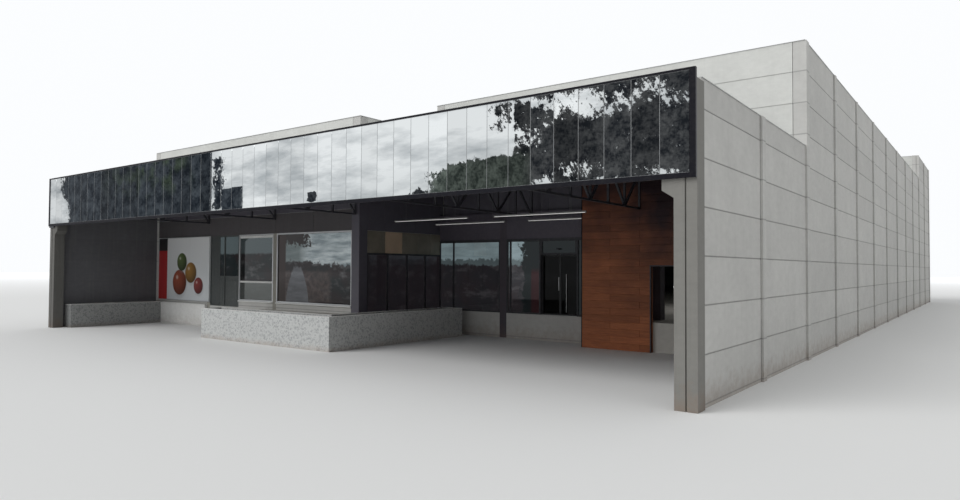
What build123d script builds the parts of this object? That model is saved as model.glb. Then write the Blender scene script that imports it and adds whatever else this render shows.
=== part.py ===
from build123d import *
import math
import os

# Supermarket building of precast concrete with a mirror-glass canopy, as a half-size model.
# Every size is in millimetres of the model, so 500 mm here is 1 m of the real building.
# Pieces are drawn from the left front corner at ground level: X runs along the front,
# Y into the building, Z up. save() then moves them to the middle of the footprint.

# Plan grid
BAY = 2500.0
FRONT_BAYS = 6
DEPTH_BAYS = 12
MID_BAY = 3
SHOP_BAY = 1
HALL_BAY = 2
TOWER_X_BAY = 4
TOWER_Y_BAY = 10
WIDTH = BAY * FRONT_BAYS
DEPTH = BAY * DEPTH_BAYS
MID_X = BAY * MID_BAY
SHOP_Y = BAY * SHOP_BAY
HALL_Y = BAY * HALL_BAY
TOWER_X = BAY * TOWER_X_BAY
TOWER_Y = BAY * TOWER_Y_BAY
ENTRANCE_LINE = BAY * (MID_BAY + 1)
GOODS_LINE = BAY * (MID_BAY + 2)

# Levels
FLOOR_TOP = 500.0
FLOOR_THICK = 75.0
UPPER_WALL_FOOT = 2540.0
CANOPY_WALL_TOP = 3350.0
LEFT_TOP = 4325.0
RIGHT_TOP = 5020.0
TOWER_TOP = 5900.0
SHOP_HEAD = 2125.0
ENTRANCE_HEAD = 1975.0

# Precast wall panels
PANEL_HEIGHT = 500.0
PANEL_THICK = 70.0
FIRST_JOINT = 540.0
JOINT_WIDTH = 12.0
JOINT_DEPTH = 7.0
PANEL_GAP = 8.0
LEAST_PANEL = 60.0
PANEL_SET_BACK = 30.0
WALL_INNER = PANEL_SET_BACK + PANEL_THICK

# Precast columns
POST = 200.0
NIB_WIDTH = 150.0
FLANGE_WIDTH = 230.0
FLANGE_DEPTH = 120.0
COLUMN_BACK = WALL_INNER + FLANGE_DEPTH

# Metal cappings on the wall tops
CAP_THICK = 6.0
CAP_LIP = 12.0

# Front columns that carry the canopy
FRONT_COLUMN_WIDTH = 240.0
FRONT_COLUMN_DEPTH = 210.0
FRONT_COLUMN_TOP = 3300.0
GROOVE_WIDTH = 16.0
GROOVE_DEPTH = 20.0
GROOVE_FROM_EDGE = 110.0
CORBEL_REACH = 125.0
CORBEL_TOP = 2330.0
CORBEL_TIP = 130.0
CORBEL_FOOT = 2120.0

# Mirror fascia
FASCIA_FOOT = 2310.0
FASCIA_TOP = 3400.0
MIRROR_COUNT = 48
MIRROR_THICK = 8.0
MIRROR_GAP = 3.0
MIRROR_LIP = 50.0
MULLION_WIDTH = 20.0
MULLION_DEPTH = 30.0
RAIL_HEIGHT = 60.0
END_STILE = 60.0
TRIM_THICK = 6.0
FASCIA_BACK = TRIM_THICK + MIRROR_THICK + MULLION_DEPTH

# Steel lattice of the canopy
LATTICE_BAR = 30.0
BRACKET = 20.0
LATTICE_THICK = 36.0
FRONT_GIRDER_BAYS = 24
GIRDER_FOOT = 2345.0
GIRDER_Y = 155.0
RAFTER_PANEL = 600.0
RAFTER_FOOT = 2420.0
CANOPY_FALL = 0.03
SHEET_THICK = 12.0
PURLIN = 30.0
PURLIN_STEP = 600.0

# Main roofs
ROOF_RISE = 0.05
ROOF_BELOW_TOP = 500.0
ROOF_THICK = 30.0
BEAM_DEPTH = 350.0
BEAM_WIDTH = 120.0

# Shop front under the left half of the canopy
SHOP_SILL = 650.0
SHOP_POST = 120.0
SHOP_DOOR_REACH = 1200.0
SHOP_DOOR_RIGHT = BAY + SHOP_DOOR_REACH
FRAME_WIDTH = 30.0
FRAME_DEPTH = 50.0
GLASS_THICK = 8.0
GLASS_SEAT = 10.0
POSTER_THICK = 25.0
POSTER_FOOT = 575.0
POSTER_MARGIN = 50.0
PLINTH_REACH = 60.0
PLINTH_TOP = 515.0

# Kiosk front that faces the entrance court
KIOSK_HEAD = 1690.0
KIOSK_MULLIONS = 3

# Glazed entrance
ENTRANCE_BEFORE_HALL = 130.0
ENTRANCE_Y = HALL_Y - ENTRANCE_BEFORE_HALL
ENTRANCE_POST_FROM_LINE = 694.0
ENTRANCE_POST = 168.0
ENTRANCE_SIDE_PANE = 350.0
ENTRANCE_SLIT_PANE = 40.0
DOOR_FROM_LINE = 600.0
DOOR_CENTRE = ENTRANCE_LINE + DOOR_FROM_LINE
LEAF_WIDTH = 400.0
LEAF_THICK = 24.0
LEAF_TRAVEL = 370.0
LEAF_FRAME = 22.0
LEAF_CLEARANCE = 6.0
DOOR_HEAD = 1675.0
OPERATOR_HEIGHT = 80.0
OPERATOR_WALL = 5.0
OPERATOR_DEPTH = 84.0
RAIL_REACH = 14.0
RAIL_LEVEL = 35.0
HANGER_THICK = 6.0
HANGER_WIDTH = 60.0
SEAT_GAP = 0.3

# Clad wall with the goods opening
CLAD_BEFORE_HALL = 650.0
CLAD_Y = HALL_Y - CLAD_BEFORE_HALL
CLAD_FROM_LINE = 1400.0
CLAD_LEFT = ENTRANCE_LINE + CLAD_FROM_LINE
CLAD_THICK = 75.0
CLAD_TOP = 2960.0
GOODS_FROM_LINE = 200.0
GOODS_LEFT = GOODS_LINE + GOODS_FROM_LINE
GOODS_FROM_SIDE = 550.0
GOODS_RIGHT = WIDTH - GOODS_FROM_SIDE
GOODS_HEAD = 1450.0

# Planters and terrace
PLANTER_BEFORE_LINE = 300.0
PLANTER_LEFT = BAY * 2 - PLANTER_BEFORE_LINE
COURT_REACH = 1000.0
PLANTER_RIGHT = MID_X + COURT_REACH
TERRACE_REACH = 1500.0
PLANTER_FRONT = SHOP_Y - TERRACE_REACH
PLANTER_FROM_HALL = 450.0
PLANTER_BACK = HALL_Y - PLANTER_FROM_HALL
PLANTER_WIDTH = 450.0
PLANTER_WALL = 60.0
PLANTER_TOP = 575.0
SOIL_BELOW = 60.0
SIDE_PLANTER_REACH = 450.0
SIDE_PLANTER_FRONT = 330.0
SIDE_PLANTER_TOP = 515.0

# Lights hung under the canopy
LIGHT_SECTION = 24.0
LIGHT_LEVEL = 2330.0
FRONT_ROW_BEFORE_HALL = 1642.0
BACK_ROW_BEFORE_HALL = 442.0
LIGHT_FROM_SIDE = 200.0
LIGHT_BEFORE_LINE = 450.0
LIGHT_FROM_LINE = 150.0
LIGHT_BEFORE_GOODS = 500.0
LIGHT_SHIFT = 50.0
LIGHT_ROWS = (
    (HALL_Y - FRONT_ROW_BEFORE_HALL, (MID_X + LIGHT_FROM_SIDE, ENTRANCE_LINE - LIGHT_BEFORE_LINE),
     (ENTRANCE_LINE + LIGHT_FROM_LINE, GOODS_LINE - LIGHT_BEFORE_GOODS)),
    (HALL_Y - BACK_ROW_BEFORE_HALL, (MID_X + LIGHT_FROM_SIDE + LIGHT_SHIFT, ENTRANCE_LINE - LIGHT_BEFORE_LINE),
     (ENTRANCE_LINE + LIGHT_FROM_LINE - LIGHT_SHIFT, CLAD_LEFT - LIGHT_SHIFT)),
)
HANG_INSET = 300.0
HANG_ROD = 4.0


def block(x, y, z):
    """Square-edged block between two values on each axis."""
    size = Box(x[1] - x[0], y[1] - y[0], z[1] - z[0], align=(Align.MIN, Align.MIN, Align.MIN))
    return Pos(x[0], y[0], z[0]) * size


def flat_shape(points):
    """Flat face with straight sides through the given points."""
    return make_face(Polyline(*points, close=True))


def save(name, *pieces):
    """Writes one named sub-part, moved so that the origin is under the middle of the building."""
    whole = pieces[0] if len(pieces) == 1 else Compound(list(pieces))
    export_step(Pos(-WIDTH / 2, -DEPTH / 2, 0) * whole, f"parts/{name}.step")


def joint_levels(foot, top):
    """Heights of the joints between precast panels, one panel height apart all round the building."""
    count = int((TOWER_TOP - FIRST_JOINT) / PANEL_HEIGHT) + 1
    levels = [FIRST_JOINT + PANEL_HEIGHT * index for index in range(count)]
    return [level for level in levels if foot + LEAST_PANEL < level < top - LEAST_PANEL]


def panel_wall(start, end, foot, top):
    """Panels stacked from foot to top between two plan points, with the outer face on the right."""
    run = Vector(*end) - Vector(*start)
    outline = [(PANEL_THICK, foot), (0, foot)]
    for level in joint_levels(foot, top):
        outline += [(0, level - JOINT_WIDTH / 2), (JOINT_DEPTH, level), (0, level + JOINT_WIDTH / 2)]
    outline += [(0, top), (PANEL_THICK, top)]
    stack = extrude(Plane.YZ * flat_shape(outline), run.length)
    heading = math.degrees(math.atan2(run.Y, run.X))
    return Pos(*start) * Rot(Z=heading) * stack


def wall_column(x, y, heading, top):
    """T-shaped column on a bay line: its nib stands proud between two panels, its flange backs them."""
    nib, flange = NIB_WIDTH / 2, FLANGE_WIDTH / 2
    outline = [(-nib, 0), (nib, 0), (nib, WALL_INNER), (flange, WALL_INNER), (flange, COLUMN_BACK)]
    outline += [(-flange, COLUMN_BACK), (-flange, WALL_INNER), (-nib, WALL_INNER)]
    return Pos(x, y, 0) * Rot(Z=heading) * extrude(flat_shape(outline), top)


def bay_walls(lines, foot, top, place):
    """One panel stack for each bay between neighbouring lines, where a line is its two edges."""
    stacks = []
    for here, following in zip(lines[:-1], lines[1:]):
        start, end = place(here[1] + PANEL_GAP), place(following[0] - PANEL_GAP)
        stacks.append(panel_wall(start, end, foot, top))
    return stacks


def nib_line(centre):
    """Edges of a T-shaped column's nib about a bay line."""
    return (centre - NIB_WIDTH / 2, centre + NIB_WIDTH / 2)


def post_line(start):
    """Edges of a square corner post that begins at a value."""
    return (start, start + POST)


def corner_post(x, y, top):
    """Square corner post with one corner on the given plan point."""
    return block((x, x + POST), (y, y + POST), (0, top))


def inset_triangle(corners, margin):
    """Triangle with each side a margin further in: the same shape shrunk about its incentre."""
    a, b, c = (Vector(*corner) for corner in corners)
    lengths = ((b - c).length, (c - a).length, (a - b).length)
    incentre = (a * lengths[0] + b * lengths[1] + c * lengths[2]) * (1 / sum(lengths))
    radius = (b - a).cross(c - a).length / sum(lengths)
    ratio = 1 - margin / radius
    return [incentre + (corner - incentre) * ratio for corner in (a, b, c)]


def lattice(length, start_depth, end_depth, bays):
    """Flat lattice girder face: an outline less the two inset triangles beside each diagonal."""
    def depth_at(x):
        return start_depth + (end_depth - start_depth) * x / length

    sheet = flat_shape([(0, 0), (length, 0), (length, end_depth), (0, start_depth)])
    step = length / bays
    for index in range(bays):
        near, far = index * step, (index + 1) * step
        edge = LATTICE_BAR / 2
        left = near + (edge if index == 0 else 0)
        right = far - (edge if index == bays - 1 else 0)
        foot_near, foot_far = (left, edge), (right, edge)
        top_near, top_far = (left, depth_at(left) - edge), (right, depth_at(right) - edge)
        if index % 2:
            holes = [(foot_near, foot_far, top_near), (foot_far, top_far, top_near)]
        else:
            holes = [(foot_near, foot_far, top_far), (foot_near, top_far, top_near)]
        for hole in holes:
            sheet -= flat_shape(inset_triangle(hole, edge))
    return sheet


def front_columns():
    """Two front columns, each with a corbel that carries the canopy girder and a cast groove."""
    right = FRONT_COLUMN_WIDTH
    profile = [(0, 0), (right, 0), (right, CORBEL_FOOT), (right + CORBEL_REACH, CORBEL_TOP - CORBEL_TIP)]
    profile += [(right + CORBEL_REACH, CORBEL_TOP), (right, CORBEL_TOP)]
    profile += [(right, FRONT_COLUMN_TOP), (0, FRONT_COLUMN_TOP)]
    shaft = extrude(Plane.XZ * flat_shape(profile), -FRONT_COLUMN_DEPTH)
    groove_x = (GROOVE_FROM_EDGE, GROOVE_FROM_EDGE + GROOVE_WIDTH)
    shaft -= block(groove_x, (0, GROOVE_DEPTH), (0, FRONT_COLUMN_TOP))
    left_column = Pos(0, FASCIA_BACK, 0) * shaft
    return left_column, Pos(WIDTH, 0, 0) * mirror(left_column, Plane.YZ)


def side_columns():
    """Columns of the two long sides, a little proud of the panels."""
    left = [wall_column(0, BAY * n, -90, LEFT_TOP) for n in range(SHOP_BAY + 1, DEPTH_BAYS)]
    left += [corner_post(0, SHOP_Y, LEFT_TOP), corner_post(0, DEPTH - POST, LEFT_TOP)]
    right = [wall_column(WIDTH, BAY * n, 90, CANOPY_WALL_TOP) for n in range(1, HALL_BAY)]
    for n in range(HALL_BAY + 1, DEPTH_BAYS):
        right.append(wall_column(WIDTH, BAY * n, 90, TOWER_TOP if n >= TOWER_Y_BAY else RIGHT_TOP))
    right += [corner_post(WIDTH - POST, HALL_Y, RIGHT_TOP)]
    right += [corner_post(WIDTH - POST, DEPTH - POST, TOWER_TOP)]
    return left, right


def middle_columns():
    """Columns along the line between the two halls, from the shop front to the back wall."""
    x = MID_X - POST / 2
    columns = [corner_post(x, SHOP_Y, LEFT_TOP), corner_post(x, HALL_Y, RIGHT_TOP)]
    for n in range(HALL_BAY + 1, DEPTH_BAYS):
        columns.append(corner_post(x, BAY * n - POST / 2, RIGHT_TOP))
    return columns + [corner_post(x, DEPTH - POST, RIGHT_TOP)]


def back_columns():
    """Columns of the back wall, as tall as the hall or tower that they close."""
    tops = {n: LEFT_TOP if n < MID_BAY else RIGHT_TOP if n < TOWER_X_BAY else TOWER_TOP
            for n in range(1, FRONT_BAYS)}
    return [wall_column(BAY * n, DEPTH, 180, top) for n, top in tops.items()
            if n not in (MID_BAY, TOWER_X_BAY)]


def tower_columns():
    """Columns under the two inner walls of the tower."""
    half = POST / 2
    beside, behind = TOWER_X + BAY, DEPTH - BAY
    return [corner_post(TOWER_X, TOWER_Y, TOWER_TOP), corner_post(TOWER_X, behind - half, TOWER_TOP),
            corner_post(TOWER_X, DEPTH - POST, TOWER_TOP), corner_post(beside - half, TOWER_Y, TOWER_TOP)]


def make_columns():
    """Columns of the sides, and those inside and at the back."""
    left, right = side_columns()
    save("front_columns", *front_columns())
    save("side_columns", *left, *right)
    save("inner_columns", *middle_columns(), *tower_columns())
    save("back_columns", *back_columns())


def clear_of(piece, columns):
    """The piece with a notch for each column that passes it."""
    for column in columns:
        piece -= column
    return piece


def make_side_walls():
    """Long walls of stacked panels, low beside the canopy and tall along the halls."""
    front_edge = (0, FASCIA_BACK + FRONT_COLUMN_DEPTH - PANEL_GAP)
    low_right = [front_edge] + [nib_line(BAY * n) for n in range(1, HALL_BAY)]
    low_right.append((HALL_Y + PANEL_GAP, HALL_Y + POST))

    def place(y):
        return WIDTH - PANEL_SET_BACK, y

    save("right_canopy_wall", *bay_walls(low_right, 0, CANOPY_WALL_TOP, place))
    hall = [post_line(HALL_Y)] + [nib_line(BAY * n) for n in range(HALL_BAY + 1, TOWER_Y_BAY + 1)]
    stacks = bay_walls(hall, 0, RIGHT_TOP, place)
    tower = [nib_line(BAY * n) for n in range(TOWER_Y_BAY, DEPTH_BAYS)] + [post_line(DEPTH - POST)]
    save("right_side_wall", *stacks, *bay_walls(tower, 0, TOWER_TOP, place))

    low_left = [front_edge, (SHOP_Y + PANEL_GAP, SHOP_Y + POST)]
    left = [post_line(SHOP_Y)] + [nib_line(BAY * n) for n in range(SHOP_BAY + 1, DEPTH_BAYS)]
    left.append(post_line(DEPTH - POST))
    save("left_canopy_wall", *left_stacks(low_left, CANOPY_WALL_TOP))
    save("left_side_wall", *left_stacks(left, LEFT_TOP))


def left_stacks(lines, top):
    """Panel stacks of the left side, drawn towards the front so that their outer faces look left."""
    stacks = []
    x = PANEL_SET_BACK
    for here, following in zip(lines[:-1], lines[1:]):
        stacks.append(panel_wall((x, following[0] - PANEL_GAP), (x, here[1] + PANEL_GAP), 0, top))
    return stacks


def make_back_wall():
    """Back wall in bays, as tall as the hall or tower that it closes."""
    edges = [(0, POST)] + [nib_line(BAY * n) for n in range(1, FRONT_BAYS)] + [(WIDTH - POST, WIDTH)]
    edges[MID_BAY] = (MID_X - POST / 2, MID_X + POST / 2)
    edges[TOWER_X_BAY] = (TOWER_X, TOWER_X + POST)
    stacks = []
    y = DEPTH - PANEL_SET_BACK
    for n in range(FRONT_BAYS):
        top = LEFT_TOP if n < MID_BAY else RIGHT_TOP if n < TOWER_X_BAY else TOWER_TOP
        stacks.append(panel_wall((edges[n + 1][0] - PANEL_GAP, y), (edges[n][1] + PANEL_GAP, y), 0, top))
    save("back_wall", *stacks)


def make_upper_walls():
    """Walls that rise above the canopy: two fronts, the return between them, and the tower."""
    half = POST / 2
    left_front = panel_wall((POST + PANEL_GAP, SHOP_Y), (MID_X - half - PANEL_GAP, SHOP_Y),
                            UPPER_WALL_FOOT, LEFT_TOP)
    left_return = panel_wall((MID_X + half, SHOP_Y + POST), (MID_X + half, HALL_Y), SHOP_HEAD, LEFT_TOP)
    save("left_upper_walls", left_front, left_return)
    right_front = panel_wall((MID_X + half + PANEL_GAP, HALL_Y), (WIDTH - POST - PANEL_GAP, HALL_Y),
                             UPPER_WALL_FOOT, RIGHT_TOP)
    save("right_upper_front_wall", right_front)
    roof_level = LEFT_TOP - ROOF_BELOW_TOP - BEAM_DEPTH
    partition = []
    for n in range(HALL_BAY, DEPTH_BAYS):
        near = HALL_Y + POST if n == HALL_BAY else BAY * n + half
        far = DEPTH - POST if n == DEPTH_BAYS - 1 else BAY * (n + 1) - half
        partition.append(panel_wall((MID_X - half, far), (MID_X - half, near), roof_level, RIGHT_TOP))
    save("middle_upper_wall", *partition)
    tower_foot = RIGHT_TOP - ROOF_BELOW_TOP - BEAM_DEPTH
    front = [(TOWER_X, TOWER_X + POST), (TOWER_X + BAY - half, TOWER_X + BAY + half)]
    front.append((WIDTH - COLUMN_BACK, WIDTH))
    side = [(TOWER_Y, TOWER_Y + POST), (DEPTH - BAY - half, DEPTH - BAY + half), (DEPTH - POST, DEPTH)]
    tower = [panel_wall((here[1], TOWER_Y), (after[0], TOWER_Y), tower_foot, TOWER_TOP)
             for here, after in zip(front[:-1], front[1:])]
    tower += [panel_wall((TOWER_X, after[0]), (TOWER_X, here[1]), tower_foot, TOWER_TOP)
              for here, after in zip(side[:-1], side[1:])]
    save("tower_walls", *tower)


def make_cappings():
    """Flat metal cappings along the tops of all the walls, a little wider than the panels."""
    half = POST / 2
    near, far = PANEL_SET_BACK - CAP_LIP, WALL_INNER + CAP_LIP
    face, behind = -CAP_LIP, PANEL_THICK + CAP_LIP
    left, right, back = (near, far), (WIDTH - far, WIDTH - near), (DEPTH - far, DEPTH - near)
    corner = FASCIA_BACK + FRONT_COLUMN_DEPTH
    partition = MID_X - half

    def cap(x, y, top):
        return block(x, y, (top, top + CAP_THICK))

    def gapped(start, end):
        return start + SEAT_GAP, end - SEAT_GAP

    caps = [
        cap(left, (corner, SHOP_Y - SEAT_GAP), CANOPY_WALL_TOP),
        cap(right, (corner, HALL_Y - SEAT_GAP), CANOPY_WALL_TOP),
        cap(left, gapped(SHOP_Y + behind, DEPTH - far), LEFT_TOP),
        cap((near, MID_X + half - face), (SHOP_Y + face, SHOP_Y + behind), LEFT_TOP),
        cap((MID_X + half - behind, MID_X + half - face), gapped(SHOP_Y + behind, HALL_Y), LEFT_TOP),
        cap((near, partition - SEAT_GAP), back, LEFT_TOP),
        cap((partition + face, partition + behind), gapped(HALL_Y + behind, DEPTH - far), RIGHT_TOP),
        cap((partition + face, WIDTH - near), (HALL_Y + face, HALL_Y + behind), RIGHT_TOP),
        cap(right, gapped(HALL_Y + behind, TOWER_Y - FLANGE_WIDTH / 2), RIGHT_TOP),
        cap((partition + face, TOWER_X - SEAT_GAP), back, RIGHT_TOP),
        cap((TOWER_X + face, WIDTH - near), (TOWER_Y + face, TOWER_Y + behind), TOWER_TOP),
        cap((TOWER_X + face, TOWER_X + behind), gapped(TOWER_Y + behind, DEPTH - far), TOWER_TOP),
        cap(right, gapped(TOWER_Y + behind, DEPTH - far), TOWER_TOP),
        cap((TOWER_X + face, WIDTH - near), back, TOWER_TOP),
    ]
    save("wall_cappings", *caps)


def gable(start, end, eaves, depth):
    """Section of a double-pitch roof or beam between two X values, with a level underside or not."""
    middle = (start + end) / 2
    rise = (end - start) / 2 * ROOF_RISE
    outline = [(start, eaves), (middle, eaves + rise), (end, eaves)]
    if depth == BEAM_DEPTH:
        return flat_shape(outline + [(end, eaves - depth), (start, eaves - depth)])
    return flat_shape(outline + [(end, eaves - depth), (middle, eaves + rise - depth),
                                 (start, eaves - depth)])


def make_roofs():
    """Low roofs behind the parapets, on one beam for each column line."""
    half = POST / 2
    left_columns, right_columns = side_columns()
    inner = middle_columns() + tower_columns() + back_columns()

    def run(section, y):
        return Pos(0, y[0], 0) * extrude(Plane.XZ * section, -(y[1] - y[0]))

    left_eaves = LEFT_TOP - ROOF_BELOW_TOP
    right_eaves = RIGHT_TOP - ROOF_BELOW_TOP
    left_roof = run(gable(WALL_INNER, MID_X - half, left_eaves, ROOF_THICK),
                    (SHOP_Y + PANEL_THICK, DEPTH - WALL_INNER))
    right_roof = run(gable(MID_X + half, WIDTH - WALL_INNER, right_eaves, ROOF_THICK),
                     (HALL_Y + PANEL_THICK, TOWER_Y))
    beside = run(gable(MID_X + half, TOWER_X, right_eaves, ROOF_THICK),
                 (TOWER_Y + SEAT_GAP, DEPTH - WALL_INNER))
    tower_level = TOWER_TOP - ROOF_BELOW_TOP / 2
    tower_roof = block((TOWER_X + PANEL_THICK, WIDTH - WALL_INNER),
                       (TOWER_Y + PANEL_THICK, DEPTH - WALL_INNER), (tower_level, tower_level + ROOF_THICK))
    save("roofs", clear_of(left_roof, left_columns + inner), clear_of(right_roof, right_columns),
         clear_of(beside, inner), clear_of(tower_roof, right_columns + inner))
    left_beam = gable(COLUMN_BACK, MID_X - half, left_eaves - ROOF_THICK, BEAM_DEPTH)
    right_beam = gable(MID_X + half, WIDTH - COLUMN_BACK, right_eaves - ROOF_THICK, BEAM_DEPTH)
    spans = [(left_beam, n) for n in range(HALL_BAY, DEPTH_BAYS)]
    spans += [(right_beam, n) for n in range(HALL_BAY + 1, TOWER_Y_BAY)]
    save("roof_beams", *[run(beam, (BAY * n - BEAM_WIDTH / 2, BAY * n + BEAM_WIDTH / 2))
                         for beam, n in spans])


def make_fascia():
    """Mirror panels on a frame of mullions and rails, trimmed at the top, foot and ends."""
    pitch = (WIDTH - 2 * END_STILE) / MIRROR_COUNT
    foot, top = FASCIA_FOOT + MIRROR_LIP, FASCIA_TOP - MIRROR_LIP / 2
    panes = []
    for n in range(MIRROR_COUNT):
        near = END_STILE + n * pitch + MIRROR_GAP / 2
        panes.append(block((near, near + pitch - MIRROR_GAP), (TRIM_THICK, TRIM_THICK + MIRROR_THICK),
                           (foot, top)))
    save("mirror_panels", *panes)

    back = TRIM_THICK + MIRROR_THICK
    frame = block((0, WIDTH), (back, back + MULLION_DEPTH), (FASCIA_FOOT, FASCIA_TOP))
    for n in range(MIRROR_COUNT):
        near = END_STILE + n * pitch + MULLION_WIDTH / 2
        frame -= block((near, near + pitch - MULLION_WIDTH), (back, back + MULLION_DEPTH),
                       (FASCIA_FOOT + RAIL_HEIGHT, FASCIA_TOP - RAIL_HEIGHT))
    save("fascia_frame", frame)

    level = (FASCIA_FOOT, FASCIA_TOP)
    between = (END_STILE + SEAT_GAP, WIDTH - END_STILE - SEAT_GAP)
    save("fascia_surround", block((0, END_STILE), (0, back), level),
         block((WIDTH - END_STILE, WIDTH), (0, back), level),
         block(between, (0, back), (FASCIA_FOOT, foot - SEAT_GAP)),
         block(between, (0, back), (top + SEAT_GAP, FASCIA_TOP)))


def canopy_underside(y):
    """Height of the underside of the canopy sheeting, which falls gently towards the building."""
    return CANOPY_WALL_TOP - 2 * RAIL_HEIGHT - CANOPY_FALL * y


def make_canopy():
    """Front girder on the corbels, lattice rafters back to the walls, purlins and sheeting."""
    inner = FRONT_COLUMN_WIDTH
    length = WIDTH - 2 * inner
    depth = canopy_underside(GIRDER_Y + LATTICE_THICK / 2) - GIRDER_FOOT
    girder = lattice(length, depth, depth, FRONT_GIRDER_BAYS)
    girder = extrude(Plane.XZ * girder, LATTICE_THICK / 2, both=True)
    pads = []
    for x in (inner, WIDTH - inner - CORBEL_REACH):
        pads.append(block((x, x + CORBEL_REACH), (GIRDER_Y - LATTICE_THICK, GIRDER_Y + LATTICE_THICK),
                          (CORBEL_TOP, GIRDER_FOOT)))
    step = length / FRONT_GIRDER_BAYS
    for n in range(1, FRONT_GIRDER_BAYS):
        x = inner + n * step
        for z in (GIRDER_FOOT, GIRDER_FOOT + depth - LATTICE_BAR):
            pads.append(block((x - BRACKET / 2, x + BRACKET / 2), (FASCIA_BACK, GIRDER_Y), (z, z + BRACKET)))
    save("front_girder", (Pos(inner, GIRDER_Y, GIRDER_FOOT) * girder).fuse(*pads))

    rafters = []
    start = GIRDER_Y + LATTICE_THICK / 2
    for n in range(1, FRONT_BAYS):
        end = SHOP_Y if n <= MID_BAY else ENTRANCE_Y if BAY * n < CLAD_LEFT else CLAD_Y
        bays = round((end - start) / RAFTER_PANEL)
        depths = [canopy_underside(y + PURLIN) - PURLIN - RAFTER_FOOT for y in (start, end)]
        section = lattice(end - start, *depths, bays)
        rafter = extrude(Plane.YZ * section, LATTICE_THICK / 2, both=True)
        rafters.append(Pos(BAY * n, start, RAFTER_FOOT) * rafter)
    save("canopy_rafters", *rafters)

    purlins = []
    edge = COLUMN_BACK
    line = FASCIA_BACK + FRONT_COLUMN_DEPTH + PURLIN
    while line < CLAD_Y - PURLIN:
        left = edge if line < SHOP_Y - PURLIN else MID_X + POST / 2
        top = canopy_underside(line + PURLIN)
        purlins.append(block((left, WIDTH - edge), (line, line + PURLIN), (top - PURLIN, top)))
        line += PURLIN_STEP
    save("canopy_purlins", *purlins)

    def sheet(x, end):
        corners = [(0, canopy_underside(0)), (end, canopy_underside(end))]
        corners += [(end, canopy_underside(end) + SHEET_THICK), (0, canopy_underside(0) + SHEET_THICK)]
        inset = [(max(y, FASCIA_BACK), z) for y, z in corners]
        whole = Pos(x[0], 0, 0) * extrude(Plane.YZ * flat_shape(inset), x[1] - x[0])
        return clear_of(whole, list(front_columns()) + side_columns()[1][:1])

    save("canopy_roof", sheet((WALL_INNER, MID_X + POST / 2), SHOP_Y),
         sheet((MID_X + POST / 2 + SEAT_GAP, WIDTH - WALL_INNER), HALL_Y))


def make_floors():
    """Raised shop floor and goods floor, and the low walls under them that run down to the ground."""
    slab = (FLOOR_TOP - FLOOR_THICK, FLOOR_TOP)
    back = DEPTH - WALL_INNER
    half = POST / 2
    kiosk_x = MID_X + half
    kiosk_base = block((kiosk_x - PANEL_THICK, kiosk_x), (SHOP_Y + POST, HALL_Y), (0, FLOOR_TOP))
    left_columns, right_columns = side_columns()
    inner = middle_columns() + tower_columns() + back_columns()
    left_floor = block((WALL_INNER, kiosk_x), (SHOP_Y + POST, back), slab)
    left_floor = clear_of(left_floor, left_columns + inner + [kiosk_base])
    right_floor = block((kiosk_x + SEAT_GAP, WIDTH - WALL_INNER), (HALL_Y + POST, back), slab)
    goods_floor = block((CLAD_LEFT + CLAD_THICK + SEAT_GAP, WIDTH - WALL_INNER),
                        (CLAD_Y + CLAD_THICK, HALL_Y + POST - SEAT_GAP), (0, FLOOR_TOP))
    posts = [corner_post(WIDTH - POST, HALL_Y, RIGHT_TOP), hall_front_column(MID_BAY + 2)]
    save("floors", left_floor, clear_of(right_floor, right_columns + inner), clear_of(goods_floor, posts))
    under = (0, FLOOR_TOP - FLOOR_THICK)
    walls = []
    for n in (1, 2, MID_BAY + 1, MID_BAY + 2):
        near = SHOP_Y + POST if n < MID_BAY else HALL_Y + POST + SEAT_GAP
        x = BAY * n - POST
        walls.append(block((x - PANEL_THICK, x + PANEL_THICK), (near, back - FLANGE_DEPTH), under))

    base_y = (SHOP_Y, SHOP_Y + PANEL_THICK)
    first, second = shop_bays()[1:]
    walls += [block((first[0], SHOP_DOOR_RIGHT), base_y, (0, FLOOR_TOP)),
              block((SHOP_DOOR_RIGHT + SEAT_GAP, first[1]), base_y, (0, SHOP_SILL)),
              block(second, base_y, (0, SHOP_SILL))]
    walls.append(kiosk_base)
    post = entrance_post()
    entrance_y = (ENTRANCE_Y, HALL_Y + POST)
    walls += [block((kiosk_x + SEAT_GAP, post[0]), entrance_y, (0, FLOOR_TOP)),
              clear_of(block((post[1], CLAD_LEFT), entrance_y, (0, FLOOR_TOP)),
                       [hall_front_column(MID_BAY + 1)])]
    save("foundation_walls", *walls)


def shop_bays():
    """Clear widths between the columns of the shop front, from left to right."""
    half = SHOP_POST / 2
    return (POST, BAY - half), (BAY + half, 2 * BAY - half), (2 * BAY + half, MID_X - POST / 2)


def entrance_post():
    """Edges of the dark column that stands in the glass front."""
    centre = ENTRANCE_LINE - ENTRANCE_POST_FROM_LINE
    return centre - ENTRANCE_POST / 2, centre + ENTRANCE_POST / 2


def hall_front_column(n):
    """Square column under the upper front wall of the right hall, on a bay line."""
    return block((BAY * n - POST / 2, BAY * n + POST / 2), (HALL_Y, HALL_Y + POST), (0, UPPER_WALL_FOOT))


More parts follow.
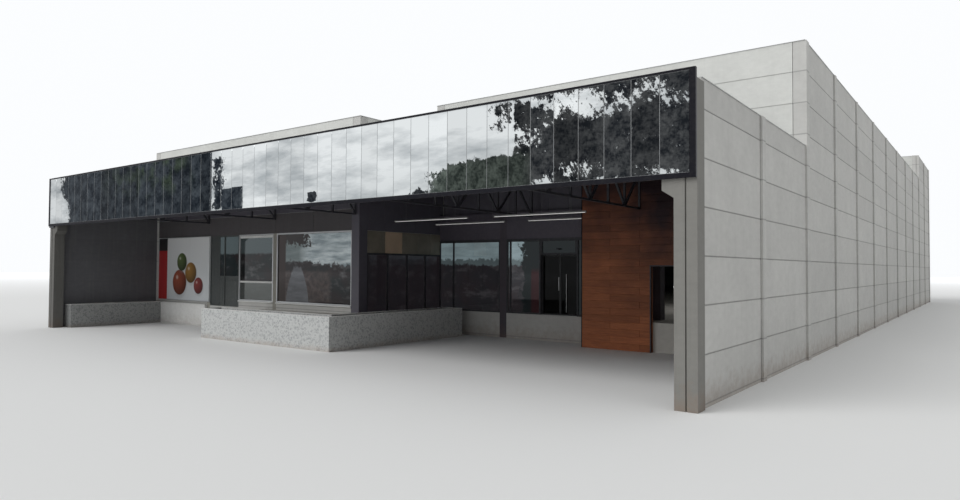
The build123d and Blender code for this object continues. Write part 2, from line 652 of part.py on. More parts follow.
def make_planters():
    """Planting troughs: an L round the terrace in front of the shop, and one along the left wall."""
    def ell(inset):
        left, right = PLANTER_LEFT + inset, PLANTER_RIGHT - inset
        front, back = PLANTER_FRONT + inset, PLANTER_BACK - inset
        inner_x, inner_y = PLANTER_RIGHT - PLANTER_WIDTH + inset, PLANTER_FRONT + PLANTER_WIDTH - inset
        return flat_shape([(left, front), (right, front), (right, back), (inner_x, back),
                           (inner_x, inner_y), (left, inner_y)])

    soil_top = PLANTER_TOP - SOIL_BELOW
    trough = extrude(ell(0), PLANTER_TOP) - extrude(ell(PLANTER_WALL), PLANTER_TOP)
    side_x = (WALL_INNER, SIDE_PLANTER_REACH)
    side_y = (SIDE_PLANTER_FRONT, SHOP_Y - PLINTH_REACH)
    side = block(side_x, side_y, (0, SIDE_PLANTER_TOP))
    hollow = ((side_x[0] + PLANTER_WALL, side_x[1] - PLANTER_WALL),
              (side_y[0] + PLANTER_WALL, side_y[1] - PLANTER_WALL))
    side -= block(*hollow, (0, SIDE_PLANTER_TOP))
    save("planter_walls", trough, side)
    save("planter_soil", extrude(ell(PLANTER_WALL), soil_top),
         block(*hollow, (0, SIDE_PLANTER_TOP - SOIL_BELOW)))
    inner_x, inner_y = PLANTER_RIGHT - PLANTER_WIDTH, PLANTER_FRONT + PLANTER_WIDTH
    save("terrace_floor", block((PLANTER_LEFT, inner_x), (inner_y, SHOP_Y), (0, FLOOR_TOP)))


def window_frame(x, y, foot, head, mullions, first=0):
    """Flat frame with upright bars in the XZ plane, and the sheets of glass that sit in it.

    The panes are equally wide, unless the first one's clear width is given.
    """
    count = mullions + 1
    clear = x[1] - x[0] - FRAME_WIDTH * (count + 1)
    widths = [first] + [(clear - first) / mullions] * mullions if first else [clear / count] * count
    frame = block(x, (y, y + FRAME_DEPTH), (foot, head))
    centre = y + FRAME_DEPTH / 2
    sheets = []
    near = x[0] + FRAME_WIDTH
    for width in widths:
        frame -= block((near, near + width), (y, y + FRAME_DEPTH), (foot + FRAME_WIDTH, head - FRAME_WIDTH))
        sheet = block((near - GLASS_SEAT, near + width + GLASS_SEAT),
                      (centre - GLASS_THICK / 2, centre + GLASS_THICK / 2),
                      (foot + FRAME_WIDTH - GLASS_SEAT, head - FRAME_WIDTH + GLASS_SEAT))
        frame -= sheet
        sheets.append(sheet)
        near += width + FRAME_WIDTH
    return frame, sheets


def make_shop_front():
    """Shop front in three bays: poster wall, door panel with window, and a wide window."""
    half = SHOP_POST / 2
    columns = [block((x - half, x + half), (SHOP_Y, SHOP_Y + POST), (0, SHOP_HEAD))
               for x in (BAY, 2 * BAY)]
    save("shop_front_columns", *columns)
    first, second, third = shop_bays()
    save("poster_wall", panel_wall((first[0], SHOP_Y), (first[1], SHOP_Y), 0, SHOP_HEAD))
    save("lintel_panels", block((first[0], third[1]), (SHOP_Y, SHOP_Y + PANEL_THICK),
                                (SHOP_HEAD, UPPER_WALL_FOOT)))
    save("poster_panel", block((first[0] + POSTER_MARGIN, second[0]), (SHOP_Y - POSTER_THICK, SHOP_Y),
                               (POSTER_FOOT, SHOP_HEAD)))
    plinth = block((SIDE_PLANTER_REACH, first[1]), (SHOP_Y - PLINTH_REACH, SHOP_Y), (0, PLINTH_TOP))
    save("poster_plinth", plinth)
    door, door_glass = window_frame((second[0], SHOP_DOOR_RIGHT), SHOP_Y, FLOOR_TOP, SHOP_HEAD, 1)
    middle, middle_glass = window_frame((SHOP_DOOR_RIGHT + SEAT_GAP, second[1]), SHOP_Y, SHOP_SILL,
                                        SHOP_HEAD, 0)
    wide, wide_glass = window_frame(third, SHOP_Y, SHOP_SILL, SHOP_HEAD, 0)
    save("shop_door_panel", door)

    x = MID_X + POST / 2
    span = (SHOP_Y + POST, HALL_Y)
    court, court_glass = window_frame((0, span[1] - span[0]), 0, FLOOR_TOP, KIOSK_HEAD, KIOSK_MULLIONS)
    turn = Pos(x, span[0], 0) * Rot(Z=90)
    save("shop_window_frames", middle, wide)
    save("court_window_frame", turn * court)
    save("shop_window_glass", *door_glass, *middle_glass, *wide_glass, *[turn * g for g in court_glass])
    save("kiosk_upper_panels", block((x - PANEL_THICK, x), span, (KIOSK_HEAD, SHOP_HEAD)))


def make_entrance():
    """Glass front of the entrance with a pair of sliding leaves under their operator box."""
    left = MID_X + POST / 2
    door = (DOOR_CENTRE - LEAF_WIDTH, DOOR_CENTRE + LEAF_WIDTH)
    post = entrance_post()
    save("entrance_columns", block(post, (ENTRANCE_Y, HALL_Y + POST), (0, UPPER_WALL_FOOT)),
         hall_front_column(MID_BAY + 1), hall_front_column(MID_BAY + 2))
    frame_a, glass_a = window_frame((left, post[0]), ENTRANCE_Y, FLOOR_TOP, ENTRANCE_HEAD, 1,
                                    ENTRANCE_SIDE_PANE)
    frame_b, glass_b = window_frame((post[1], door[0]), ENTRANCE_Y, FLOOR_TOP, ENTRANCE_HEAD, 1,
                                    ENTRANCE_SLIT_PANE)
    frame_c, glass_c = window_frame((door[1], CLAD_LEFT), ENTRANCE_Y, FLOOR_TOP, ENTRANCE_HEAD, 0)
    over, glass_over = window_frame((door[0] + SEAT_GAP, door[1] - SEAT_GAP), ENTRANCE_Y, DOOR_HEAD,
                                    ENTRANCE_HEAD, 0)
    save("entrance_frames", frame_a, frame_b, frame_c, over)
    save("entrance_glass", *glass_a, *glass_b, *glass_c, *glass_over)
    save("entrance_header", block((left, post[0]), (ENTRANCE_Y, HALL_Y), (ENTRANCE_HEAD, UPPER_WALL_FOOT)),
         block((post[1], CLAD_LEFT), (ENTRANCE_Y, HALL_Y), (ENTRANCE_HEAD, UPPER_WALL_FOOT)))


def make_door():
    """Operator box with its rail, and two glazed leaves that hang from the rail by hooks."""
    face = ENTRANCE_Y + FRAME_DEPTH
    wall = OPERATOR_WALL
    depth, height = OPERATOR_DEPTH - wall, OPERATOR_HEIGHT
    rail = RAIL_LEVEL
    profile = [(0, 0), (0, height), (depth, height), (depth, 0), (depth - wall, 0)]
    profile += [(depth - wall, height - wall), (wall, height - wall), (wall, rail + wall)]
    profile += [(wall + RAIL_REACH, rail + wall), (wall + RAIL_REACH, rail), (wall, rail), (wall, 0)]
    ends = (DOOR_CENTRE - LEAF_WIDTH - LEAF_TRAVEL, CLAD_LEFT)
    box = Pos(ends[0], face, DOOR_HEAD) * extrude(Plane.YZ * flat_shape(profile), ends[1] - ends[0])
    save("door_operator", box)

    leaf_y = face + wall + RAIL_REACH + LEAF_CLEARANCE
    foot, head = FLOOR_TOP + LEAF_CLEARANCE, DOOR_HEAD - LEAF_CLEARANCE
    for name, near in (("left", DOOR_CENTRE - LEAF_WIDTH), ("right", DOOR_CENTRE + SEAT_GAP)):
        far = near + LEAF_WIDTH - SEAT_GAP
        leaf = block((near, far), (leaf_y, leaf_y + LEAF_THICK), (foot, head))
        leaf -= block((near + LEAF_FRAME, far - LEAF_FRAME), (leaf_y, leaf_y + LEAF_THICK),
                      (foot + LEAF_FRAME, head - LEAF_FRAME))
        middle = leaf_y + LEAF_THICK / 2
        sheet = block((near + LEAF_FRAME - GLASS_SEAT, far - LEAF_FRAME + GLASS_SEAT),
                      (middle - GLASS_THICK / 2, middle + GLASS_THICK / 2),
                      (foot + LEAF_FRAME - GLASS_SEAT, head - LEAF_FRAME + GLASS_SEAT))
        leaf -= sheet
        seat = DOOR_HEAD + rail + wall + SEAT_GAP
        hook = [(leaf_y, head), (leaf_y + HANGER_THICK, head), (leaf_y + HANGER_THICK, seat + HANGER_THICK)]
        hook_end = face + wall + LEAF_CLEARANCE
        hook += [(hook_end, seat + HANGER_THICK), (hook_end, seat), (leaf_y, seat)]
        for x in (near + LEAF_FRAME, far - LEAF_FRAME - HANGER_WIDTH):
            leaf += Pos(x, 0, 0) * extrude(Plane.YZ * flat_shape(hook), HANGER_WIDTH)
        save(f"{name}_sliding_leaf", leaf)
        save(f"{name}_leaf_glass", sheet)


def make_clad_wall():
    """Wall with horizontal boarding that stands in front of the hall and has the goods opening."""
    y = (CLAD_Y, CLAD_Y + CLAD_THICK)
    right = WIDTH - WALL_INNER
    side = block((CLAD_LEFT, CLAD_LEFT + CLAD_THICK), (y[1] + SEAT_GAP, HALL_Y), (0, CLAD_TOP))
    save("clad_wall_sides", block((CLAD_LEFT, GOODS_LEFT), y, (0, CLAD_TOP)),
         block((GOODS_RIGHT, right), y, (0, CLAD_TOP)), side)
    save("clad_wall_over_opening", block((GOODS_LEFT, GOODS_RIGHT), y, (GOODS_HEAD, CLAD_TOP)))


def make_lights():
    """Linear lights in two rows, each hung on two rods from the canopy purlins."""
    lights = []
    level = (LIGHT_LEVEL, LIGHT_LEVEL + LIGHT_SECTION)
    for y, *lengths in LIGHT_ROWS:
        for x in lengths:
            light = block(x, (y, y + LIGHT_SECTION), level)
            for rod_x in (x[0] + HANG_INSET, x[1] - HANG_INSET):
                rod = Cylinder(HANG_ROD / 2, canopy_underside(y + LIGHT_SECTION) - level[1],
                               align=(Align.CENTER, Align.CENTER, Align.MIN))
                light += Pos(rod_x, y + LIGHT_SECTION / 2, level[1]) * rod
            lights.append(light)
    save("hung_lights", *lights)


os.makedirs("parts", exist_ok=True)
make_columns()
make_side_walls()
make_back_wall()
make_upper_walls()
make_cappings()
make_roofs()
make_fascia()
make_canopy()
make_floors()
make_planters()
make_shop_front()
make_entrance()
make_door()
make_clad_wall()
make_lights()
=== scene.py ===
"""Looks of the half-size supermarket building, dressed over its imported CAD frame.

New pieces are drawn in metres from the building's left front ground corner, and moved to the
frame's origin, under the middle of the building, when their mesh is made.
"""
from __future__ import annotations

import logging
import math
from dataclasses import dataclass, field
from enum import Enum
from functools import cached_property, partialmethod

import bpy
import numpy as np
from mathutils import Matrix, Vector


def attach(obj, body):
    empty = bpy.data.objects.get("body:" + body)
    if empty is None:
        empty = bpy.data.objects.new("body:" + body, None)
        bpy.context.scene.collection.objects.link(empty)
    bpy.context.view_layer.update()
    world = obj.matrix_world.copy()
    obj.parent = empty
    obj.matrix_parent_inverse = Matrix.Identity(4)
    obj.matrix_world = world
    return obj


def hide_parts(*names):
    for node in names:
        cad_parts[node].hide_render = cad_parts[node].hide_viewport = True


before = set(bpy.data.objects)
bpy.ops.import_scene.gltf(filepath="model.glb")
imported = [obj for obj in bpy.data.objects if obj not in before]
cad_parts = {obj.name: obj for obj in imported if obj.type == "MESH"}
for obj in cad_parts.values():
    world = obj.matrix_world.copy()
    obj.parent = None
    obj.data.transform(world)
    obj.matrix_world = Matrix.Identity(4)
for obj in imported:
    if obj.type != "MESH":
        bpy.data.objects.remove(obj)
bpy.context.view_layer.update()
WIDTH, DEPTH = 15.0, 30.0
BAY = 2.5
SHOP_Y, HALL_Y = 2.5, 5.0
COURT_X = 7.6
ORIGIN = np.array([WIDTH / 2, DEPTH / 2, 0.0])
UP, DOWN, FORWARD = np.array([0, 0, 1]), np.array([0, 0, -1]), np.array([0, -1, 0])
LOG = logging.getLogger("supermarket")
Colour = tuple[float, float, float, float]


class Axis(Enum):
    """Direction of a turned piece."""

    X = 0
    Y = 1
    Z = 2


class Mode(Enum):
    """Ways in which two colours are mixed."""

    BLEND = "MIX"
    MULTIPLY = "MULTIPLY"


# Shapes


def box_template() -> tuple[np.ndarray, np.ndarray, np.ndarray]:
    """Box with chamfered edges: three points at each of its eight corners.

    The point of corner c and axis a lies on the face across a: it has the full reach along a and
    is a bevel short of it along the two other axes.

    Returns:
        The corner signs, the four-sided faces and the three-sided faces.
    """
    signs = np.array([(x, y, z) for x in (-1, 1) for y in (-1, 1) for z in (-1, 1)], float)
    spots = np.repeat(signs, 3, 0) * (1 - 0.2 * (1 - np.tile(np.eye(3), (8, 1))))
    quads = [[3 * ring[n] + axis for n in (0, 1, 3, 2)] for axis in range(3) for sign in (-1, 1)
             for ring in [[c for c in range(8) if signs[c, axis] == sign]]]
    for first in range(8):
        for second in range(first + 1, 8):
            step = np.nonzero(signs[first] != signs[second])[0]
            if len(step) == 1:
                a, b = [axis for axis in range(3) if axis != step[0]]
                quads.append([3 * first + a, 3 * second + a, 3 * second + b, 3 * first + b])
    triangles = [[3 * c, 3 * c + 1, 3 * c + 2] for c in range(8)]
    for face in quads + triangles:
        corner = spots[face]
        if np.cross(corner[1] - corner[0], corner[2] - corner[1]) @ corner.mean(0) < 0:
            face.reverse()
    return signs, np.array(quads), np.array(triangles)


SIGNS, BOX_QUADS, BOX_TRIANGLES = box_template()


@dataclass
class Shape:
    """Points and faces of one piece, gathered from whole arrays."""

    points: list[np.ndarray] = field(default_factory=list)
    faces: list[list[int]] = field(default_factory=list)
    marks: list[np.ndarray] = field(default_factory=list)
    count: int = 0

    def add(self, points: np.ndarray, *faces: np.ndarray) -> Shape:
        """Takes in points and the faces between them, and marks each point with its part's number.

        Args:
            points: array of (parts, ..., 3).
            faces: arrays of point numbers, a face a row.

        Returns:
            This shape.
        """
        flat = points.reshape(-1, 3)
        self.points.append(flat)
        self.marks.append(np.repeat(np.arange(len(points), dtype=float), math.prod(points.shape[1:-1])))
        for group in faces:
            self.faces += (group.reshape(-1, group.shape[-1]) + self.count).tolist()
        self.count += len(flat)
        return self

    def boxes(self, low: np.ndarray, high: np.ndarray, bevel: float = 0.002) -> Shape:
        """Chamfered boxes between rows of lowest and highest corners.

        Each point is the middle plus sign times half the size, less the bevel on two axes.

        Args:
            low: one lowest corner a row.
            high: one highest corner a row.
            bevel: width of the chamfer.

        Returns:
            This shape.
        """
        low, high = np.atleast_2d(low).astype(float), np.atleast_2d(high).astype(float)
        half = (high - low)[:, None, None, :] / 2
        cut = np.minimum(bevel, half * 0.45) * (1 - np.eye(3))
        spots = ((low + high) / 2)[:, None, None, :] + SIGNS[None, :, None, :] * (half - cut)
        base = (np.arange(len(low)) * 24)[:, None, None]
        return self.add(spots, BOX_QUADS + base, BOX_TRIANGLES + base)

    def slabs(self, rows: list[tuple[float, ...]], bevel: float = 0.002) -> Shape:
        """Chamfered boxes given as rows of lowest x, y, z and highest x, y, z."""
        corners = np.array(rows, float)
        return self.boxes(corners[:, :3], corners[:, 3:], bevel)

    def grids(self, points: np.ndarray, flip: bool = False) -> Shape:
        """Sheets given as arrays of rows and columns of points.

        Args:
            points: array of (sheets, rows, columns, 3).
            flip: turns the faces to the other side.

        Returns:
            This shape.
        """
        index = np.arange(points[..., 0].size).reshape(points.shape[:3])
        order = [index[:, :-1, :-1], index[:, :-1, 1:], index[:, 1:, 1:], index[:, 1:, :-1]]
        return self.add(points, np.stack(order[::-1] if flip else order, -1))

    def tubes(self, points: np.ndarray) -> Shape:
        """Rings of points, joined by walls and closed at both ends.

        Args:
            points: array of (tubes, rings, sides, 3), anticlockwise about the way along.

        Returns:
            This shape.
        """
        index = np.arange(points[..., 0].size).reshape(points.shape[:3])
        low, high = index[:, :-1], index[:, 1:]
        walls = np.stack([low, np.roll(low, -1, 2), np.roll(high, -1, 2), high], -1)
        return self.add(points, walls, index[:, 0, ::-1], index[:, -1])

    def drawn(self, profile: np.ndarray, start: np.ndarray, end: np.ndarray, out: np.ndarray) -> Shape:
        """Closed profile carried straight from each start to each end.

        A profile point (u, v) goes to the path point plus u times the side direction plus v times
        the outward one, where side is outward crossed with the way along.

        Args:
            profile: (points, 2), anticlockwise.
            start: one start a row.
            end: one end a row.
            out: outward direction, one for all or one a row.

        Returns:
            This shape.
        """
        start, end = np.atleast_2d(start).astype(float), np.atleast_2d(end).astype(float)
        along = end - start
        along /= np.linalg.norm(along, axis=1, keepdims=True)
        out = np.broadcast_to(np.atleast_2d(out).astype(float), start.shape)
        side = np.cross(out, along)
        offset = profile[None, :, :1] * side[:, None] + profile[None, :, 1:] * out[:, None]
        return self.tubes(np.stack([start[:, None] + offset, end[:, None] + offset], 1))

    def turned(self, centres: np.ndarray, axis: Axis, way: float, radii: list[float],
               levels: list[float], sides: int = 12) -> Shape:
        """Rings of given radius and level about an axis.

        Args:
            centres: one foot point a row.
            axis: the axis that the rings stand on.
            way: 1 or -1, the way that the levels go.
            radii: radius of each ring.
            levels: distance of each ring from the foot.
            sides: number of sides of a ring.

        Returns:
            This shape.
        """
        turn = np.arange(sides) * 2 * math.pi / sides * way
        unit = np.zeros((len(radii), sides, 3))
        unit[:, :, (axis.value + 1) % 3] = np.cos(turn) * np.array(radii)[:, None]
        unit[:, :, (axis.value + 2) % 3] = np.sin(turn) * np.array(radii)[:, None]
        unit[:, :, axis.value] = np.array(levels)[:, None] * way
        return self.tubes(np.atleast_2d(centres).astype(float)[:, None, None] + unit[None])

    def piece(self, name: str, finish: Finish, slot: str, body: str = "building",
              smooth: bool = False) -> bpy.types.Object:
        """Makes the object, with its place in its mesh.

        Args:
            name: name of the piece.
            finish: what it is made of.
            slot: name of a material slot, which is not used.
            body: the body that it rides on.
            smooth: shades it smooth, with edges sharper than 35 degrees kept.

        Returns:
            The new object.
        """
        mesh = bpy.data.meshes.new(name)
        mesh.from_pydata((np.concatenate(self.points) - ORIGIN).tolist(), [], self.faces)
        mesh.attributes.new("mark", "FLOAT", "POINT").data.foreach_set("value", np.concatenate(self.marks))
        mesh.materials.append(finish.material())
        mesh.shade_flat()
        if smooth:
            mesh.shade_smooth()
            mesh.set_sharp_from_angle(angle=math.radians(35))
        thing = linked(name, mesh)
        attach(thing, body)
        LOG.info("%s: %d points, %d faces", name, self.count, len(self.faces))
        return thing


HALF_ROUND = np.array([(0.5, 0.0), (0.42, 0.55), (0.2, 0.9), (-0.2, 0.9), (-0.42, 0.55), (-0.5, 0.0),
                       (-0.5, -0.5), (0.5, -0.5)])


def half_round(width: float, height: float) -> np.ndarray:
    """Bead profile: a flattened half circle of that width and height on a short foot."""
    return HALF_ROUND * (width, height)


def trapezoid(foot: float, top: float, height: float) -> np.ndarray:
    """Profile of a sheet's rib, wider at its foot than at its top."""
    return np.array([(foot / 2, 0), (top / 2, height), (-top / 2, height), (-foot / 2, 0)])


def columns(*parts: object) -> np.ndarray:
    """Rows of points from columns that may be single numbers or arrays."""
    return np.stack(np.broadcast_arrays(*[np.asarray(part, float) for part in parts]), -1)


def points_of(node: str) -> np.ndarray:
    """Points of a CAD node's mesh, in metres from the left front ground corner.

    Args:
        node: name of the CAD node.

    Returns:
        One point a row.
    """
    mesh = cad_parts[node].data
    spots = np.empty(len(mesh.vertices) * 3)
    mesh.vertices.foreach_get("co", spots)
    return spots.reshape(-1, 3) + ORIGIN


def linked(name: str, data: bpy.types.ID) -> bpy.types.Object:
    """Makes an object of that data and links it to the scene.

    Args:
        name: name of the object.
        data: its mesh, camera or lamp.

    Returns:
        The object.
    """
    thing = bpy.data.objects.new(name, data)
    bpy.context.scene.collection.objects.link(thing)
    return thing


# Node graphs


class Wire:
    """A value in a graph of shader nodes, on which sums are written as plain operators."""

    def __init__(self, graph: Graph, socket: bpy.types.NodeSocket) -> None:
        """Keeps the graph and the socket that the value comes out of."""
        self.graph, self.socket = graph, socket

    def combine(self, operation: str, other: object = 0.0) -> Wire:
        """Result of a math node on this value and another."""
        return self.graph.node("ShaderNodeMath", {0: self, 1: other}, operation=operation)

    __add__ = partialmethod(combine, "ADD")
    __mul__ = partialmethod(combine, "MULTIPLY")
    __sub__ = partialmethod(combine, "SUBTRACT")
    __truediv__ = partialmethod(combine, "DIVIDE")
    __lt__ = partialmethod(combine, "LESS_THAN")
    __gt__ = partialmethod(combine, "GREATER_THAN")

    def __rsub__(self, other: float) -> Wire:
        """A number less this value."""
        return self.graph.node("ShaderNodeMath", {0: other, 1: self}, operation="SUBTRACT")

    def clamped(self) -> Wire:
        """This sum, held between 0 and 1."""
        self.socket.node.use_clamp = True
        return self

    def spread(self, low: float, high: float, start: float = 0.0, end: float = 1.0) -> Wire:
        """This value carried from one range to another and held at its ends."""
        return self.graph.node("ShaderNodeMapRange", {0: self, 1: low, 2: high, 3: start, 4: end})

    def mix(self, first: Colour | Wire, second: Colour | Wire) -> Wire:
        """Two colours mixed, with this value as the share of the second."""
        return self.graph.mix(self, first, second)


class Graph:
    """Short hand for a tree of shader nodes."""

    def __init__(self, tree: bpy.types.NodeTree) -> None:
        """Keeps the tree that the nodes go into."""
        self.tree = tree

    def put(self, value: object, socket: bpy.types.NodeSocket) -> None:
        """Links a wire to a socket, or gives it a plain value."""
        if isinstance(value, Wire):
            self.tree.links.new(value.socket, socket)
        else:
            socket.default_value = value

    def add(self, kind: str, inputs: dict[int | str, object], **settings: object) -> bpy.types.Node:
        """Adds a node.

        Args:
            kind: Blender's name for the node.
            inputs: plain value or wire for each of its inputs.
            settings: properties of the node.

        Returns:
            The node.
        """
        node = self.tree.nodes.new(kind)
        for key, value in settings.items():
            setattr(node, key, value)
        for key, value in inputs.items():
            self.put(value, node.inputs[key])
        return node

    def node(self, kind: str, inputs: dict[int | str, object], output: int | str = 0,
             **settings: object) -> Wire:
        """Adds a node, as add does, and gives back one of its outputs."""
        return Wire(self, self.add(kind, inputs, **settings).outputs[output])

    def shade(self, **values: object) -> None:
        """Puts plain values and wires on the shader's sockets, named with underscores for blanks."""
        for key, value in values.items():
            self.put(value, self.tree.nodes["Principled BSDF"].inputs[key.replace("_", " ")])

    def mix(self, share: float | Wire, first: Colour | Wire, second: Colour | Wire,
            mode: Mode = Mode.BLEND) -> Wire:
        """Mix of two colours."""
        return self.node("ShaderNodeMix", {0: share, 6: first, 7: second}, 2, data_type="RGBA",
                         blend_type=mode.value)

    def toned(self, colour: Colour | Wire, tone: Wire) -> Wire:
        """Colour multiplied by a tone."""
        grey = self.node("ShaderNodeCombineColor", {0: tone, 1: tone, 2: tone})
        return self.mix(1.0, colour, grey, Mode.MULTIPLY)

    @cached_property
    def place(self) -> Wire:
        """Point in the frame, as every piece's origin is the frame's."""
        return self.node("ShaderNodeTexCoord", {}, "Object")

    @cached_property
    def mark(self) -> Wire:
        """Number of the part of the piece that a point belongs to."""
        return self.node("ShaderNodeAttribute", {}, "Fac", attribute_name="mark")

    def noise(self, scale: float, detail: float = 3.0, rough: float = 0.55, place: Wire | None = None,
              stretch: tuple[float, float, float] | None = None) -> Wire:
        """Cloudy noise from 0 to 1.

        Args:
            scale: how small its patches are.
            detail: how many finer layers it has.
            rough: how strong the finer layers are.
            place: the point, if not the frame's.
            stretch: factor of each axis, high where the patches are narrow.

        Returns:
            The noise.
        """
        place = place or self.place
        if stretch:
            place = self.node("ShaderNodeMapping", {0: place, 3: stretch})
        return self.node("ShaderNodeTexNoise", {"Vector": place, "Scale": scale, "Detail": detail,
                                                "Roughness": rough})

    def cells(self, scale: float | Wire, output: str = "Distance", **settings: object) -> Wire:
        """Voronoi cells: their distance field or their own colour."""
        return self.node("ShaderNodeTexVoronoi", {"Vector": self.place, "Scale": scale}, output, **settings)

    def parts(self, place: Wire | None = None) -> list[Wire]:
        """The three coordinates of a point."""
        split = self.add("ShaderNodeSeparateXYZ", {0: place or self.place})
        return [Wire(self, out) for out in split.outputs]

    def red(self, colour: Wire) -> Wire:
        """The red part of a colour."""
        return self.node("ShaderNodeSeparateColor", {0: colour})

    def chance(self, value: Wire) -> Wire:
        """A steady random number from 0 to 1 for each value."""
        return self.node("ShaderNodeTexWhiteNoise", {"W": value}, "Value", noise_dimensions="1D")

    def use(self, effect: Effect, **inputs: object) -> dict[str, Wire]:
        """Places an effect's group and gives back its named outputs.

        Args:
            effect: which effect.
            inputs: plain value or wire for its inputs.

        Returns:
            Each output by its name.
        """
        group = self.add("ShaderNodeGroup", {}, node_tree=effect.group())
        for key, value in inputs.items():
            self.put(value, group.inputs[key])
        return {out.name: Wire(self, out) for out in group.outputs}


def cast_surface(graph: Graph, base: Wire, clouds: Wire, grain: Wire, holes: Wire) -> dict[str, Wire]:
    """Cast concrete: clouds and patches of tone, fine grain and small air holes with painted shade in them.

    Args:
        graph: the group's graph.
        base: colour of clean concrete.
        clouds: strength of the clouds and patches.
        grain: strength of the grain.
        holes: strength of the air holes.

    Returns:
        Colour, roughness and height.
    """
    cloud = graph.noise(1.7, 5.0, 0.6).spread(0.3, 0.7, -1.0, 1.0)
    patch = graph.noise(7.0, 4.0, stretch=(1.0, 1.0, 2.2)).spread(0.3, 0.7, -1.0, 1.0)
    fine = graph.noise(240.0, 2.0).spread(0.3, 0.7, -1.0, 1.0)
    hole = graph.cells(90.0).spread(0.05, 0.13, 1.0, 0.0) * graph.noise(11.0, 2.0).spread(0.52, 0.62) * holes
    # The air holes are painted darker: painted shade in them.
    tone = (cloud * 0.6 + patch * 0.4) * clouds + fine * grain + 1.0 - hole * 0.35
    return {"Color": graph.toned(base, tone), "Roughness": cloud.spread(-1.0, 1.0, 0.78, 0.92),
            "Height": fine * 0.15 - hole}


def panel_joints(graph: Graph, first: Wire, pitch: Wire, width: Wire) -> dict[str, Wire]:
    """Level joints at a first height and every pitch above it, and one tone for each panel.

    The mask is 1 at a joint and 0 from its width on. The tone is a random number for the panel's
    row and for its bay along X and Y.

    Args:
        graph: the group's graph.
        first: height of the first joint.
        pitch: height of a panel.
        width: reach of a joint.

    Returns:
        Joint mask, panel tone, and a value that rises to 1 just below each joint.
    """
    x, y, z = graph.parts()
    turns = (z - first) / pitch + 10.0
    bays = (x / BAY).combine("FLOOR") + (y / BAY).combine("FLOOR") * 13.0
    return {"Mask": (1.0 - turns.combine("PINGPONG", 0.5) / (width / pitch)).clamped(),
            "Tone": graph.chance(turns.combine("FLOOR") * 7.31 + bays),
            "Below": turns.combine("FRACT").spread(0.72, 0.99)}


def ground_grime(graph: Graph, height: Wire, amount: Wire) -> dict[str, Wire]:
    """Splashed dirt that fades out with height, with a ragged upper edge.

    Args:
        graph: the group's graph.
        height: how high it reaches.
        amount: how thick it is.

    Returns:
        The mask.
    """
    ragged = graph.parts()[2] / height + graph.noise(9.0, 5.0, 0.65).spread(0.3, 0.7, -0.5, 0.5)
    fine = graph.noise(70.0, 3.0).spread(0.3, 0.65, 0.45, 1.0)
    return {"Mask": (1.0 - ragged).clamped() * fine * amount}


def rain_streaks(graph: Graph, amount: Wire) -> dict[str, Wire]:
    """Upright streaks: noise squeezed across and drawn out along Z.

    Args:
        graph: the group's graph.
        amount: how strong they are.

    Returns:
        The mask.
    """
    streak = graph.noise(2.2, 4.0, 0.6, stretch=(7.0, 7.0, 0.35)).spread(0.5, 0.72)
    thin = graph.noise(1.6, 3.0, 0.5, stretch=(26.0, 26.0, 0.5)).spread(0.35, 0.65, 0.3, 1.0)
    return {"Mask": (streak * thin * amount).clamped()}


def metal_face(graph: Graph, base: Wire, gloss: Wire, dust: Wire, drift: Wire) -> dict[str, Wire]:
    """Sheet or section metal: faint tone drift, dust, fine scratches and an uneven gloss.

    Args:
        graph: the group's graph.
        base: colour of the clean metal or paint.
        gloss: its roughness.
        dust: amount of dust.
        drift: strength of the tone drift.

    Returns:
        Colour, roughness and height.
    """
    tone = graph.noise(3.1, 4.0).spread(0.3, 0.7, -1.0, 1.0) * drift + 1.0
    dusty = graph.noise(16.0, 6.0, 0.7).spread(0.48, 0.75) * dust
    scratch = graph.noise(2.0, 2.0, stretch=(3.0, 3.0, 160.0))
    rough = gloss + dusty * 0.6 + scratch.spread(0.3, 0.7, -0.05, 0.05)
    return {"Color": dusty.mix(graph.toned(base, tone), rgb(0.42, 0.38, 0.33)), "Roughness": rough.clamped(),
            "Height": scratch}


def small_tiles(graph: Graph, scale: Wire, joint: Wire) -> dict[str, Wire]:
    """Broken mosaic: cells with a pale joint, each with a random tone.

    Args:
        graph: the group's graph.
        scale: how small the pieces are.
        joint: width of the joint.

    Returns:
        Tone of each piece, joint mask and height.
    """
    rim = (1.0 - graph.cells(scale, feature="DISTANCE_TO_EDGE") / joint).clamped()
    tone = graph.red(graph.cells(scale, "Color"))
    return {"Tone": tone, "Joint": rim, "Height": tone * 0.3 - rim}


